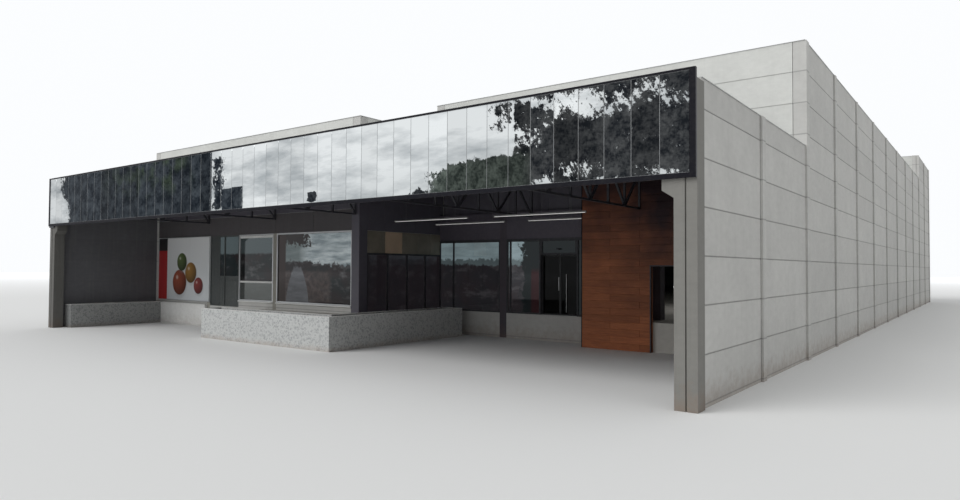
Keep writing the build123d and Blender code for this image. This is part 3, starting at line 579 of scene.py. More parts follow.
class Effect(Enum):
    """Surface effects that more than one material uses: what draws each, and its inputs' defaults."""

    CAST = (cast_surface, {"Base": (0.6, 0.6, 0.6, 1.0), "Clouds": 0.25, "Grain": 0.12, "Holes": 0.5})
    JOINTS = (panel_joints, {"First": 0.54, "Pitch": 0.5, "Width": 0.014})
    GRIME = (ground_grime, {"Height": 0.3, "Amount": 0.6})
    DRIPS = (rain_streaks, {"Amount": 0.5})
    METAL = (metal_face, {"Base": (0.5, 0.5, 0.5, 1.0), "Gloss": 0.35, "Dust": 0.2, "Drift": 0.08})
    TILES = (small_tiles, {"Scale": 60.0, "Joint": 0.06})

    def group(self) -> bpy.types.NodeTree:
        """The effect's node group, built on first use: inputs, what draws it, then its outputs.

        Returns:
            The group.
        """
        draw, defaults = self.value
        ready = bpy.data.node_groups.get(draw.__name__)
        if ready:
            return ready
        tree = bpy.data.node_groups.new(draw.__name__, "ShaderNodeTree")
        for key, value in defaults.items():
            kind = "NodeSocketFloat" if isinstance(value, float) else "NodeSocketColor"
            tree.interface.new_socket(key, in_out="INPUT", socket_type=kind).default_value = value
        graph = Graph(tree)
        given = graph.add("NodeGroupInput", {}).outputs
        made = draw(graph, *(Wire(graph, given[key]) for key in defaults))
        for key in made:
            kind = "NodeSocketColor" if key == "Color" else "NodeSocketFloat"
            tree.interface.new_socket(key, in_out="OUTPUT", socket_type=kind)
        graph.add("NodeGroupOutput", made)
        return tree


# Finishes


def rgb(red: float, green: float, blue: float) -> Colour:
    """A colour as the shader takes it."""
    return red, green, blue, 1.0


def dimmed(colour: Colour, share: float) -> Colour:
    """A share of a colour."""
    return rgb(*(share * part for part in colour[:3]))


@dataclass(frozen=True)
class Finish:
    """What a surface is made of: a name, a base colour and how it is painted."""

    name: str
    base: Colour
    # left: share of the colour kept at the left end, as painted shade of the trees there.
    left: float = field(default=1.0, kw_only=True)

    def material(self) -> bpy.types.Material:
        """The finish's material, made on first use.

        Returns:
            The material.
        """
        ready = bpy.data.materials.get(self.name)
        if ready:
            return ready
        material = bpy.data.materials.new(self.name)
        material.use_nodes = True
        self.paint(Graph(material.node_tree))
        return material

    def paint(self, graph: Graph) -> None:
        """Draws the finish in its material's graph; a subclass says how."""
        raise NotImplementedError

    def join(self, graph: Graph, colour: Wire, rough: Wire | float, height: Wire | None = None,
             depth: float = 0.001, strength: float = 0.5) -> None:
        """Joins colour, roughness and a bump to the shader.

        The colour is multiplied by the share `left` at the left end, as painted shade there.

        Args:
            graph: the material's graph.
            colour: the surface colour.
            rough: the roughness.
            height: height of the bump.
            depth: how deep it is.
            strength: how much of it shows.
        """
        # Painted shade at the left end.
        if self.left < 1:
            colour = graph.toned(colour, graph.parts()[0].spread(-6.95, -6.8, self.left, 1.0))
        graph.shade(Base_Color=colour, Roughness=rough)
        if height:
            graph.shade(Normal=graph.node("ShaderNodeBump", {"Height": height, "Distance": depth,
                                                             "Strength": strength}))


@dataclass(frozen=True)
class Concrete(Finish):
    """Cast concrete, with panel joints, rain streaks and splashed dirt in given amounts."""

    clouds: float = 0.1
    grain: float = 0.05
    streaks: float = 0.22
    grime: float = 0.5
    joint: float = 0.55
    panel_tone: float = 0.05
    streak_colour: Colour = rgb(0.30, 0.29, 0.27)

    def paint(self, graph: Graph) -> None:
        """Cast surface, then joints, streaks under them and dirt at the foot.

        Args:
            graph: the material's graph.
        """
        cast = graph.use(Effect.CAST, Base=self.base, Clouds=self.clouds, Grain=self.grain)
        joints = graph.use(Effect.JOINTS)
        tone = joints["Tone"].spread(0.0, 1.0, 1 - self.panel_tone, 1 + self.panel_tone)
        drips = graph.use(Effect.DRIPS, Amount=self.streaks)["Mask"]
        drips = drips * joints["Below"].spread(0.0, 1.0, 0.55, 1.0)
        colour = drips.mix(graph.toned(cast["Color"], tone), self.streak_colour)
        dirt = graph.use(Effect.GRIME, Height=0.28, Amount=self.grime)["Mask"]
        colour = dirt.mix(colour, rgb(0.24, 0.16, 0.11))
        colour = (joints["Mask"] * self.joint).mix(colour, rgb(0.10, 0.10, 0.10))
        self.join(graph, colour, cast["Roughness"], cast["Height"], 0.0015, 0.6)


@dataclass(frozen=True)
class Metal(Finish):
    """Painted or bare metal with dust and fine scratches."""

    gloss: float = 0.35
    dust: float = 0.15
    drift: float = 0.06
    metallic: float = 0.0
    specular: float = 0.5

    def paint(self, graph: Graph) -> None:
        """Metal face with an even metallic value and an even strength of gloss.

        Args:
            graph: the material's graph.
        """
        graph.shade(Specular_IOR_Level=self.specular, Metallic=self.metallic)
        face = graph.use(Effect.METAL, Base=self.base, Gloss=self.gloss, Dust=self.dust, Drift=self.drift)
        self.join(graph, face["Color"], face["Roughness"], face["Height"], 0.0002, 0.3)


@dataclass(frozen=True)
class RoofSheet(Finish):
    """Galvanised sheet with spangle, water marks and old dirt in its troughs."""

    def paint(self, graph: Graph) -> None:
        """Metal face toned by spangle cells and streaked along the fall.

        Args:
            graph: the material's graph.
        """
        face = graph.use(Effect.METAL, Base=self.base, Gloss=0.42, Dust=0.35, Drift=0.1)
        spangle = graph.red(graph.cells(45.0, "Color"))
        marks = graph.noise(1.3, 5.0, stretch=(0.6, 9.0, 1.0)).spread(0.5, 0.75, 0.0, 0.5)
        colour = graph.toned(face["Color"], spangle.spread(0.0, 1.0, 0.93, 1.07))
        colour = marks.mix(colour, rgb(0.30, 0.27, 0.24))
        graph.shade(Metallic=0.25)
        self.join(graph, colour, face["Roughness"], spangle, 0.0002, 0.2)


@dataclass(frozen=True)
class MirrorGlass(Finish):
    """Mirror panes, each at its own slight angle, with a painted reflection: pale cloud of the sky and dark
    patches of trees.

    A pane's number shifts the pattern a little. The painted dark reflection covers the pale one where fine
    noise stays under a density. A zone is its two ends along the row and its foot and top, all from 0 to
    1, then its density and how soft its edges are.
    """

    edge_tint: float = 0.6
    dark_reflection_zones: tuple[tuple[float, ...], ...] = (
        (0.436, 0.468, 0.03, 0.90, 0.66, 0.05), (0.4597, 0.4995, 0.03, 0.385, 1.1, 0.01),
        (0.6089, 0.6238, 0.02, 0.17, 0.95, 0.02), (0.748, 0.7715, -0.1, 0.13, 0.9, 0.06),
        (0.7705, 0.876, -0.1, 0.345, 0.92, 0.06), (0.8325, 0.8545, 0.56, 0.975, 0.90, 0.08),
        (0.8535, 1.1, -0.1, 1.1, 0.78, 0.01))
    sky_reflection_gaps: tuple[tuple[float, ...], ...] = (
        (-0.1, 0.08, -0.1, 0.52, 0.62, 0.12), (0.10, 0.20, -0.1, 0.06, 0.35, 0.03),
        (0.8535, 0.874, 0.49, 0.64, 0.50, 0.08), (0.8535, 0.862, 0.38, 0.52, 0.5, 0.06),
        (0.8645, 0.8738, 0.90, 1.1, 0.8, 0.04), (0.8745, 0.8955, 0.86, 0.975, 0.50, 0.06),
        (0.896, 0.9165, 0.70, 0.93, 0.52, 0.08), (0.9165, 0.9350, 0.64, 0.95, 0.30, 0.06),
        (0.9350, 0.9545, 0.66, 0.91, 0.24, 0.06), (0.9545, 0.9756, 0.78, 1.0, 0.38, 0.06),
        (0.9756, 0.994, 0.69, 0.85, 0.26, 0.06), (0.875, 0.887, 0.0, 0.14, 0.5, 0.05),
        (0.896, 0.9165, 0.0, 0.22, 0.42, 0.08), (0.926, 0.955, -0.05, 0.05, 0.4, 0.03),
        (0.965, 0.995, 0.01, 0.13, 0.40, 0.05))

    def paint(self, graph: Graph) -> None:
        """Painted reflection of sky and trees: pale and dark parts on a polished metal-backed surface.

        Args:
            graph: the material's graph.
        """
        luck, other = graph.chance(graph.mark), graph.chance(graph.mark + 71.0)
        shift = graph.node("ShaderNodeCombineXYZ", {0: luck.spread(0.0, 1.0, -0.05, 0.05),
                                                    2: other.spread(0.0, 1.0, -0.05, 0.05)})
        moved = graph.node("ShaderNodeVectorMath", {0: graph.place, 1: shift})
        x, _, z = graph.parts(moved)
        along, up = x.spread(-7.5, 7.5), z.spread(2.33, 3.4)
        # Painted reflection of dark trees: leaf clumps lit in places, a greener stretch, and far and near
        # ends of the row.
        clumps = graph.noise(26.0, 6.0, 0.75, moved) * 0.5 + graph.noise(5.0, 3.0, 0.6, moved) * 0.5
        lit = clumps.spread(0.43, 0.60)
        green = (graph.noise(2.4, 3.0, place=moved).spread(0.47, 0.62, 0.0, 0.75) * along.spread(0.17, 0.24)
                 * along.spread(0.42, 0.36) * up.spread(0.3, 0.6))
        far = green.mix(lit.mix(rgb(0.006, 0.010, 0.016), rgb(0.060, 0.072, 0.084)),
                        lit.mix(rgb(0.016, 0.026, 0.016), rgb(0.060, 0.086, 0.046)))
        low = along.spread(0.76, 0.78) * along.spread(0.875, 0.86) * up.spread(0.40, 0.30) * 0.85
        near = low.mix(lit.mix(rgb(0.011, 0.013, 0.016), rgb(0.070, 0.073, 0.074)),
                       lit.mix(rgb(0.028, 0.036, 0.031), rgb(0.125, 0.150, 0.128)))
        dark = graph.toned(along.spread(0.45, 0.80).mix(far, near), other.spread(0.0, 1.0, 0.62, 1.15))
        # Painted reflection of pale clouded sky, greyer in the lower right and a little dimmer on some panes.
        cloud = graph.noise(1.9, 6.0, 0.58, moved, (0.35, 1.0, 1.4)).spread(0.38, 0.60)
        haze = up.spread(0.45, 0.1, 0.0, 0.35) * along.spread(0.55, 0.8)
        pale = haze.mix(cloud.mix(rgb(0.43, 0.46, 0.475), rgb(0.85, 0.875, 0.875)), rgb(0.42, 0.45, 0.45))
        pale = graph.toned(pale, luck.spread(0.0, 1.0, 0.84, 1.0))
        graph.shade(Metallic=1.0, Specular_Tint=rgb(*[self.edge_tint] * 3))
        self.join(graph, self.cover(graph, moved, along, up).mix(pale, dark), 0.04)

    def cover(self, graph: Graph, moved: Wire, along: Wire, up: Wire) -> Wire:
        """Where the painted reflection of trees covers that of the sky: whole at the left, then in the dark
        reflection zones.

        Args:
            graph: the material's graph.
            moved: the shifted point.
            along: distance along the wall, 0 to 1.
            up: height in the row of panes, 0 to 1.

        Returns:
            A mask, 1 in the dark part.
        """
        x, _, z = graph.parts(moved)
        leaning = graph.node("ShaderNodeCombineXYZ", {0: x + z * 0.6, 2: z * 0.22})
        fine = (graph.noise(3.4, 5.0, 0.6, moved).spread(0.32, 0.68, 0.0, 0.25)
                + graph.noise(11.0, 8.0, 0.72, moved).spread(0.32, 0.68, 0.0, 0.5)
                + graph.noise(24.0, 4.0, 0.65, leaning).spread(0.32, 0.68, 0.0, 0.25))

        def zone(a: float, b: float, low: float, high: float, value: float, soft: float) -> Wire:
            """Value inside a rectangle of the row with soft edges, 0 outside."""
            sides = along.spread(a - soft / 4, a + soft / 4) * along.spread(b + soft / 4, b - soft / 4)
            return sides * up.spread(low - soft, low + soft) * up.spread(high + soft, high - soft) * value

        density = along.spread(0.012, 0.078, 0.0, 1.02) * (along < 0.4388)
        for row in self.dark_reflection_zones:
            density = density.combine("MAXIMUM", zone(*row))
        for row in self.sky_reflection_gaps:
            density = density - zone(*row)
        return (density - fine).spread(-0.02, 0.03)


@dataclass(frozen=True)
class Glass(Finish):
    """Coated window glass, partly mirror and partly clear, with a painted reflection as its colour.

    A share of the colour also glows as a painted glow, because what it mirrors is brighter than the sheltered
    front.
    """

    coating: float = 0.6
    # glow: strength of the painted glow.
    glow: float = 0.0
    specular: float = 0.35
    index: float = 1.45

    def picture(self, graph: Graph) -> Wire:
        """Even tint with a slow drift."""
        drift = graph.noise(2.0, 4.0, stretch=(1.0, 1.0, 0.5)).spread(0.35, 0.65)
        return drift.mix(self.base, dimmed(self.base, 0.6))

    def paint(self, graph: Graph) -> None:
        """Transmissive shader with an even metal share, smeared gloss and the painted glow.

        Args:
            graph: the material's graph.
        """
        colour = self.picture(graph)
        graph.shade(Metallic=self.coating, Transmission_Weight=1.0, IOR=self.index,
                    Specular_IOR_Level=self.specular, Emission_Strength=self.glow)
        # The painted glow takes the colour of the painted reflection.
        if self.glow:
            graph.shade(Emission_Color=colour)
        smear = graph.noise(5.0, 5.0, 0.7, stretch=(1.0, 1.0, 0.4))
        self.join(graph, colour, smear.spread(0.4, 0.75, 0.02, 0.06))

    @staticmethod
    def reflected_clutter(graph: Graph) -> Wire:
        """Painted reflection of dim things: patches of grey, dull green and brown, drawn out along X.

        Args:
            graph: the material's graph.

        Returns:
            The colour.
        """
        patch = graph.noise(4.2, 5.0, 0.62, stretch=(0.8, 1.0, 1.7)).spread(0.52, 0.70)
        tint = graph.noise(2.3, 3.0, stretch=(0.8, 1.0, 1.2)).spread(0.4, 0.6)
        dim = tint.mix(rgb(0.012, 0.015, 0.016), rgb(0.017, 0.014, 0.015))
        return patch.mix(dim, rgb(0.060, 0.060, 0.062))


@dataclass(frozen=True)
class EntranceGlass(Glass):
    """Entrance front's painted reflection: pale teal above a level, dim patches below, dark beyond an edge.

    Level and edge are made ragged by noise, and the red-brown column behind the glass is painted on it too.
    """

    level: float = 1.585
    dark_reflection_from: float = 2.25
    # The column is painted on the glass where it stands behind it.
    column: tuple[float, float] = (2.47, 2.65)
    column_top: float = 1.42

    def picture(self, graph: Graph) -> Wire:
        """Painted reflection: pale part, a dimmer band under it, dim patches, the dark part, and the painted
        column.

        Args:
            graph: the material's graph.

        Returns:
            The colour.
        """
        x, _, z = graph.parts()
        ragged = graph.noise(7.0, 7.0, 0.72).spread(0.3, 0.7, -0.16, 0.16)
        height = z + graph.noise(12.0, 5.0, 0.7).spread(0.3, 0.7, -0.05, 0.05)
        cloud = graph.noise(2.2, 5.0, 0.6, stretch=(0.7, 1.0, 3.0)).spread(0.35, 0.65)
        pale = cloud.mix(self.base, dimmed(self.base, 0.72))
        band = height.spread(self.level - 0.13, self.level - 0.10)
        low = band.mix(graph.mix(0.3, self.reflected_clutter(graph), rgb(0.050, 0.042, 0.050)),
                       graph.mix(0.72, pale, rgb(0.035, 0.045, 0.046)))
        # The pale painted reflection is darker to the right.
        pale = graph.toned(pale, x.spread(1.8, 1.9, 1.0, 0.78))
        colour = height.spread(self.level - 0.01, self.level + 0.01).mix(low, pale)
        colour = (x + ragged - self.dark_reflection_from).spread(-0.01, 0.02).mix(colour, rgb(0.009, 0.012, 0.013))
        # The red-brown column behind the glass, painted on it.
        inside = (x > self.column[0]) * (x < self.column[1])
        inside = inside * z.spread(self.column_top, self.column_top - 0.1)
        return inside.mix(colour, rgb(0.024, 0.0095, 0.011))


@dataclass(frozen=True)
class ShopGlass(Glass):
    """Glass of the shop front, with a painted reflection: dull teal at the left, clouds in the wide window,
    dark at the court.
    """

    level: float = 1.70
    wide_level: float = 1.52
    rail: float = 1.07

    def picture(self, graph: Graph) -> Wire:
        """Painted reflection: one picture for the bays left of the wide window, one for it, and one for the
        court.

        Args:
            graph: the material's graph.

        Returns:
            The colour.
        """
        x, _, z = graph.parts()
        ragged = graph.noise(9.0, 8.0, 0.75).spread(0.32, 0.68, -0.07, 0.07)
        reflected_clutter = self.reflected_clutter(graph)
        teal = (z + ragged * 0.3).spread(self.level - 0.02, self.level + 0.02).mix(reflected_clutter, self.base)
        film = (z < self.rail) * (x > -3.8) * 0.8
        teal = film.mix(teal, rgb(0.10, 0.108, 0.104))
        front = x.spread(-2.47, -2.45).mix(teal, self.wide(graph, x, z, ragged, reflected_clutter))
        # Painted light: the door panel's glass is made 2.8 times brighter, as it mirrors the dark side wall.
        front = graph.toned(front, x.spread(-3.82, -3.80, 2.8, 1.0))
        return x.spread(0.0, 0.02).mix(front, graph.mix(0.6, reflected_clutter, rgb(0.032, 0.026, 0.032)))

    def wide(self, graph: Graph, x: Wire, z: Wire, ragged: Wire, reflected_clutter: Wire) -> Wire:
        """Painted reflection in the wide window: clouds with a dark corner at the upper left, a pale mound
        and dark brown in the lower part.

        Args:
            graph: the material's graph.
            x: place along the front.
            z: height.
            ragged: noise that roughens the edges.
            reflected_clutter: the dim lower part, a painted reflection.

        Returns:
            The colour.
        """
        along = x.spread(-2.41, -0.13)
        cloud = graph.noise(2.4, 6.0, 0.6, stretch=(0.6, 1.0, 3.4))
        high = cloud.spread(0.38, 0.62).mix(rgb(0.125, 0.150, 0.160), rgb(0.28, 0.31, 0.315))
        high = along.spread(0.42, 0.30, 0.0, 0.8).mix(high, rgb(0.062, 0.078, 0.078))
        slope = (along.spread(0.12, 0.23) * along.spread(0.44, 0.33)).combine("SQRT")
        mound = (slope.spread(0.0, 1.0, 0.60, 1.42) + ragged * 0.7 - z).spread(-0.01, 0.02)
        brown = (z + ragged).spread(1.36, 1.30) * along.spread(0.76, 0.70) * 0.6
        earthy = ragged.spread(-0.03, 0.03).mix(rgb(0.030, 0.024, 0.023), rgb(0.072, 0.054, 0.050))
        pale = cloud.spread(0.35, 0.65).mix(rgb(0.048, 0.050, 0.055), rgb(0.085, 0.088, 0.095))
        low = mound.mix(brown.mix(reflected_clutter, earthy), pale)
        level = z + ragged + along.spread(0.3, 0.9, 0.0, 0.08)
        colour = level.spread(self.wide_level - 0.01, self.wide_level + 0.02).mix(low, high)
        fine = graph.noise(15.0, 6.0, 0.7).spread(0.32, 0.68, -0.09, 0.09)
        above = z - (1.90 - along.spread(0.12, 0.46, 0.0, 0.06)) + fine
        corner = above.combine("MINIMUM", 0.44 - along + fine * 1.3)
        colour = corner.spread(-0.01, 0.02).mix(colour, rgb(0.017, 0.0145, 0.0145))
        return along.spread(0.115, 0.105).mix(colour, rgb(0.022, 0.016, 0.015))


@dataclass(frozen=True)
class Boards(Finish):
    """Stained boards with grain along them, with painted light and shade: warm at the lower left, dark above
    and to the right.
    """

    # warm: colour at the lower left, the stain's tone with painted floor light.
    warm: Colour = rgb(0.455, 0.152, 0.062)

    def paint(self, graph: Graph) -> None:
        """Grain stretched along X, a tone for each board and a slow drift over the wall, partly painted light
        and shade.

        Args:
            graph: the material's graph.
        """
        x, _, z = graph.parts()
        # The drift is partly the stain's own tone and partly painted light: painted shade darkens it upward
        # and to the right.
        drift = (z.spread(0.4, 2.9) + x.spread(4.0, 7.4, 0.0, 0.8)
                 + graph.noise(1.6, 3.0).spread(0.3, 0.7, -0.2, 0.2)).spread(0.3, 1.2)
        grain = graph.noise(3.0, 6.0, 0.65, stretch=(2.0, 20.0, 46.0))
        luck = graph.chance(graph.mark).spread(0.0, 1.0, 0.78, 1.16)
        colour = graph.toned(drift.mix(self.warm, self.base), luck)
        colour = grain.spread(0.35, 0.7, 0.0, 0.55).mix(colour, rgb(0.05, 0.024, 0.019))
        graph.shade(Specular_IOR_Level=0.2)
        self.join(graph, colour, grain.spread(0.3, 0.7, 0.38, 0.6), grain, 0.0006, 0.5)


@dataclass(frozen=True)
class Mosaic(Finish):
    """Broken white mosaic with grey flecks."""

    def paint(self, graph: Graph) -> None:
        """Mosaic cells: most white, some grey, set in a grey joint, dirtier at the ground.

        Args:
            graph: the material's graph.
        """
        tiles = graph.use(Effect.TILES, Scale=38.0, Joint=0.07)
        colour = tiles["Tone"].spread(0.55, 0.95).mix(self.base, rgb(0.33, 0.34, 0.345))
        colour = (tiles["Joint"] * 0.55).mix(colour, rgb(0.40, 0.40, 0.39))
        dirt = graph.use(Effect.GRIME, Height=0.1, Amount=0.5)["Mask"]
        rough = tiles["Joint"].spread(0.0, 1.0, 0.3, 0.8)
        self.join(graph, dirt.mix(colour, rgb(0.33, 0.24, 0.18)), rough, tiles["Height"], 0.002, 0.5)


@dataclass(frozen=True)
class Earth(Finish):
    """Damp planting soil with crumbs of several sizes."""

    def paint(self, graph: Graph) -> None:
        """Crumbs by cells and noise, with painted shade in the gaps.

        Args:
            graph: the material's graph.
        """
        crumbs, mixed = graph.cells(70.0), graph.noise(35.0, 8.0, 0.75)
        colour = mixed.spread(0.3, 0.7).mix(rgb(0.045, 0.028, 0.018), self.base)
        # Painted shade in the gaps between crumbs.
        colour = crumbs.spread(0.4, 0.8, 0.0, 0.7).mix(colour, rgb(0.02, 0.014, 0.01))
        self.join(graph, colour, 0.95, mixed - crumbs, 0.006, 0.9)


@dataclass(frozen=True)
class Floor(Finish):
    """Power-floated concrete floor with cut joints and polished wear."""

    def paint(self, graph: Graph) -> None:
        """Cast surface with a grid of thin cuts and trodden gloss.

        Args:
            graph: the material's graph.
        """
        cast = graph.use(Effect.CAST, Base=self.base, Clouds=0.16, Grain=0.05, Holes=0.15)
        cuts = [(axis / 1.25).combine("PINGPONG", 0.5) < 0.003 for axis in graph.parts()[:2]]
        cut = cuts[0].combine("MAXIMUM", cuts[1]) * 0.7
        worn = graph.noise(1.1, 4.0).spread(0.35, 0.65, 0.28, 0.55)
        self.join(graph, cut.mix(cast["Color"], rgb(0.12, 0.11, 0.10)), worn, cast["Height"], 0.0005, 0.3)


@dataclass(frozen=True)
class Poster(Finish):
    """Printed sheet: round fruit on a pale ground, with a red band up one side and a dark cap on it.

    A fruit is its middle across and up, its radius and its colour.
    """

    edge: float = -7.25
    red_width: float = 0.42
    dark_foot: float = 1.80
    fruit: tuple[tuple[float, float, float, Colour], ...] = (
        (1.00, 1.02, 0.31, rgb(0.36, 0.085, 0.045)), (1.50, 1.26, 0.25, rgb(0.40, 0.21, 0.05)),
        (1.10, 1.52, 0.22, rgb(0.12, 0.17, 0.06)), (1.84, 0.95, 0.20, rgb(0.30, 0.055, 0.05)))

    def paint(self, graph: Graph) -> None:
        """Fruit by distance from their middles, each with a lit upper left, then the side band.

        Args:
            graph: the material's graph.
        """
        x, _, z = graph.parts()
        across = x - self.edge

        def away(middle: float, level: float) -> Wire:
            """Distance in the sheet's plane: the root of the two differences squared and added."""
            beside, above = across - middle, z - level
            return (beside * beside + above * above).combine("SQRT")

        colour = z.spread(0.6, 2.1).mix(rgb(0.60, 0.63, 0.65), self.base)
        for middle, level, size, tint in self.fruit:
            lit = away(middle - 0.35 * size, level + 0.4 * size)
            skin = lit.spread(0.1 * size, 1.4 * size).mix(tint, dimmed(tint, 0.25))
            skin = lit.spread(0.22 * size, 0.05 * size, 0.0, 0.6).mix(skin, rgb(0.8, 0.78, 0.7))
            shadow = away(middle + 0.03, level - 0.05).spread(size * 1.15, size * 0.8, 0.0, 0.35)
            colour = shadow.mix(colour, rgb(0.25, 0.26, 0.27))
            colour = away(middle, level).spread(size, size - 0.006).mix(colour, skin)
        band = (z > self.dark_foot).mix(rgb(0.40, 0.025, 0.028), rgb(0.018, 0.018, 0.02))
        colour = (across < self.red_width).mix(colour, band)
        dust = graph.use(Effect.DRIPS, Amount=0.12)["Mask"]
        ripple = graph.noise(2.5, 3.0, stretch=(2.0, 1.0, 0.7))
        self.join(graph, dust.mix(colour, rgb(0.45, 0.42, 0.38)), 0.42, ripple, 0.01, 0.25)


@dataclass(frozen=True)
class Lamp(Finish):
    """Lit diffuser of a linear light."""

    glow: float = 0.35

    def paint(self, graph: Graph) -> None:
        """White diffuser that glows almost evenly."""
        patch = graph.noise(3.0, 2.0).spread(0.3, 0.7, 0.92, 1.0)
        graph.shade(Base_Color=self.base, Emission_Color=graph.toned(self.base, patch),
                    Emission_Strength=self.glow, Roughness=0.5)


@dataclass(frozen=True)
class Sealant(Finish):
    """Rubbery sealant or gasket with dust on it."""

    def paint(self, graph: Graph) -> None:
        """Even dark surface, dusty in patches, with a tooled ripple.

        Args:
            graph: the material's graph.
        """
        dusty = graph.noise(21.0, 4.0).spread(0.4, 0.75, 0.0, 0.4)
        ripple = graph.noise(1.0, 2.0, stretch=(40.0, 40.0, 6.0))
        self.join(graph, dusty.mix(self.base, rgb(0.25, 0.23, 0.21)), 0.7, ripple, 0.001, 0.4)


class Palette:
    """All finishes of the building, and which CAD node wears which."""

    wall = Concrete("wall_panel_concrete", rgb(0.54, 0.535, 0.513))
    front_wall = Concrete("front_panel_concrete", rgb(0.645, 0.65, 0.62), streaks=0.12, grime=0.3, joint=0.4)
    # The left front column gets painted shade through left.
    column = Concrete("column_concrete", rgb(0.205, 0.20, 0.185), streaks=0.3, joint=0.0, panel_tone=0.0,
                      left=0.54, streak_colour=rgb(0.12, 0.12, 0.11))
    shop_column = Concrete("shop_column_concrete", rgb(0.31, 0.30, 0.265), streaks=0.08, joint=0.0,
                           panel_tone=0.0, grime=0.2)
    lintel = Concrete("lintel_panel_concrete", rgb(0.086, 0.079, 0.083), streaks=0.1, joint=0.0, grime=0.0)
    dark_wall = Concrete("dark_painted_wall", rgb(0.107, 0.107, 0.115), clouds=0.14, streaks=0.25, grime=0.35,
                         joint=0.6, streak_colour=rgb(0.26, 0.25, 0.24))
    red_brown = Concrete("red_brown_painted_column", rgb(0.082, 0.070, 0.084), streaks=0.08, joint=0.0,
                         grime=0.3)
    white_paint = Concrete("white_painted_render", rgb(0.74, 0.74, 0.72), streaks=0.1, joint=0.0, grime=0.3)
    beam = Concrete("roof_beam_concrete", rgb(0.48, 0.475, 0.46), streaks=0.1, joint=0.0, grime=0.0)
    mirror = MirrorGlass("mirror_glass_panes", rgb(0.7, 0.74, 0.78))
    black_trim = Metal("black_trim_paint", rgb(0.042, 0.043, 0.050), gloss=0.45, dust=0.10, specular=0.25)
    fascia_trim = Metal("fascia_trim_paint", rgb(0.010, 0.010, 0.014), gloss=0.5, dust=0.03, specular=0.06)
    steel = Metal("dark_steel_paint", rgb(0.035, 0.036, 0.045), gloss=0.55, dust=0.12)
    bolt = Metal("zinc_plated_bolts", rgb(0.42, 0.42, 0.41), gloss=0.4, dust=0.25, metallic=0.7)
    aluminium = Metal("anodised_aluminium", rgb(0.50, 0.51, 0.52), gloss=0.34, dust=0.1, metallic=0.6)
    green = Metal("grey_green_paint", rgb(0.060, 0.068, 0.067), gloss=0.4, dust=0.1)
    kiosk = Metal("brown_board_paint", rgb(0.20, 0.180, 0.142), gloss=0.5, dust=0.1, drift=0.16)
    kiosk_light = Metal("tan_board_paint", rgb(0.49, 0.365, 0.255), gloss=0.5, dust=0.08, drift=0.12)
    capping = RoofSheet("wall_capping_sheet", rgb(0.44, 0.45, 0.45))
    roof = RoofSheet("roof_sheet_metal", rgb(0.52, 0.53, 0.54))
    soffit = Metal("dark_soffit_sheet", rgb(0.051, 0.052, 0.080), gloss=0.45, dust=0.06)
    header = Metal("dark_header_paint", rgb(0.099, 0.089, 0.112), gloss=0.5, dust=0.08, specular=0.3)
    dark_leaf = Metal("dark_leaf_anodising", rgb(0.030, 0.031, 0.034), gloss=0.4, dust=0.06, specular=0.2)
    # Dark boards under the canopy: dark paint and painted shade.
    lining = Metal("dark_lining_board", rgb(0.096, 0.090, 0.112), gloss=0.5, dust=0.05)
    # glow is a painted glow on the shop and entrance glass.
    shop_glass = ShopGlass("shop_window_glass", rgb(0.061, 0.076, 0.080), glow=0.3)
    entrance_glass = EntranceGlass("entrance_window_glass", rgb(0.26, 0.33, 0.35), glow=0.42)
    leaf_glass = Glass("door_leaf_glass", rgb(0.010, 0.011, 0.012), coating=0.1, specular=0.2, index=1.18)
    boards = Boards("stained_wall_boards", rgb(0.022, 0.0118, 0.0172))
    poster = Poster("printed_poster_sheet", rgb(0.80, 0.81, 0.81))
    floor = Floor("shop_floor_concrete", rgb(0.50, 0.48, 0.44))
    # The left trough gets painted shade through left.
    mosaic = Mosaic("white_broken_mosaic", rgb(0.53, 0.54, 0.53), left=0.6)
    coping = Concrete("planter_coping_stone", rgb(0.72, 0.72, 0.70), streaks=0.05, joint=0.0, grime=0.0)
    earth = Earth("planting_soil", rgb(0.12, 0.08, 0.05))
    lamp = Lamp("lit_lamp_diffuser", rgb(1.0, 0.99, 0.96))
    lamp_body = Metal("grey_lamp_body", rgb(0.20, 0.20, 0.20), gloss=0.45, dust=0.1)
    seal = Sealant("dark_joint_sealant", rgb(0.035, 0.035, 0.036))
    pane_seal = Sealant("grey_pane_sealant", rgb(0.30, 0.31, 0.32))
    nodes: dict[Finish, str] = {
        wall: "side_columns inner_columns back_columns right_canopy_wall right_side_wall "
              "left_side_wall back_wall foundation_walls poster_wall",
        front_wall: "left_upper_walls right_upper_front_wall middle_upper_wall tower_walls",
        column: "front_columns", shop_column: "shop_front_columns", lintel: "lintel_panels",
        dark_wall: "left_canopy_wall", red_brown: "entrance_columns", white_paint: "poster_plinth",
        beam: "roof_beams", fascia_trim: "fascia_surround",
        black_trim: "fascia_frame entrance_frames court_window_frame",
        steel: "front_girder canopy_rafters canopy_purlins", header: "entrance_header",
        roof: "roofs canopy_roof", capping: "wall_cappings", aluminium: "shop_window_frames",
        dark_leaf: "door_operator left_sliding_leaf right_sliding_leaf",
        green: "shop_door_panel", kiosk: "kiosk_upper_panels", shop_glass: "shop_window_glass",
        entrance_glass: "entrance_glass", leaf_glass: "left_leaf_glass right_leaf_glass",
        boards: "clad_wall_sides clad_wall_over_opening", poster: "poster_panel",
        floor: "floors terrace_floor", mosaic: "planter_walls", earth: "planter_soil",
        lamp_body: "hung_lights", mirror: "mirror_panels",
    }

    @classmethod
    def dress(cls) -> None:
        """Puts each finish into its CAD nodes' material slots."""
        left = set(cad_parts)
        for finish, names in cls.nodes.items():
            for node in names.split():
                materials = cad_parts[node].data.materials
                materials.clear()
                materials.append(finish.material())
                left.discard(node)
        LOG.info("dressed the CAD nodes, left over: %s", sorted(left))


# Sub-assemblies


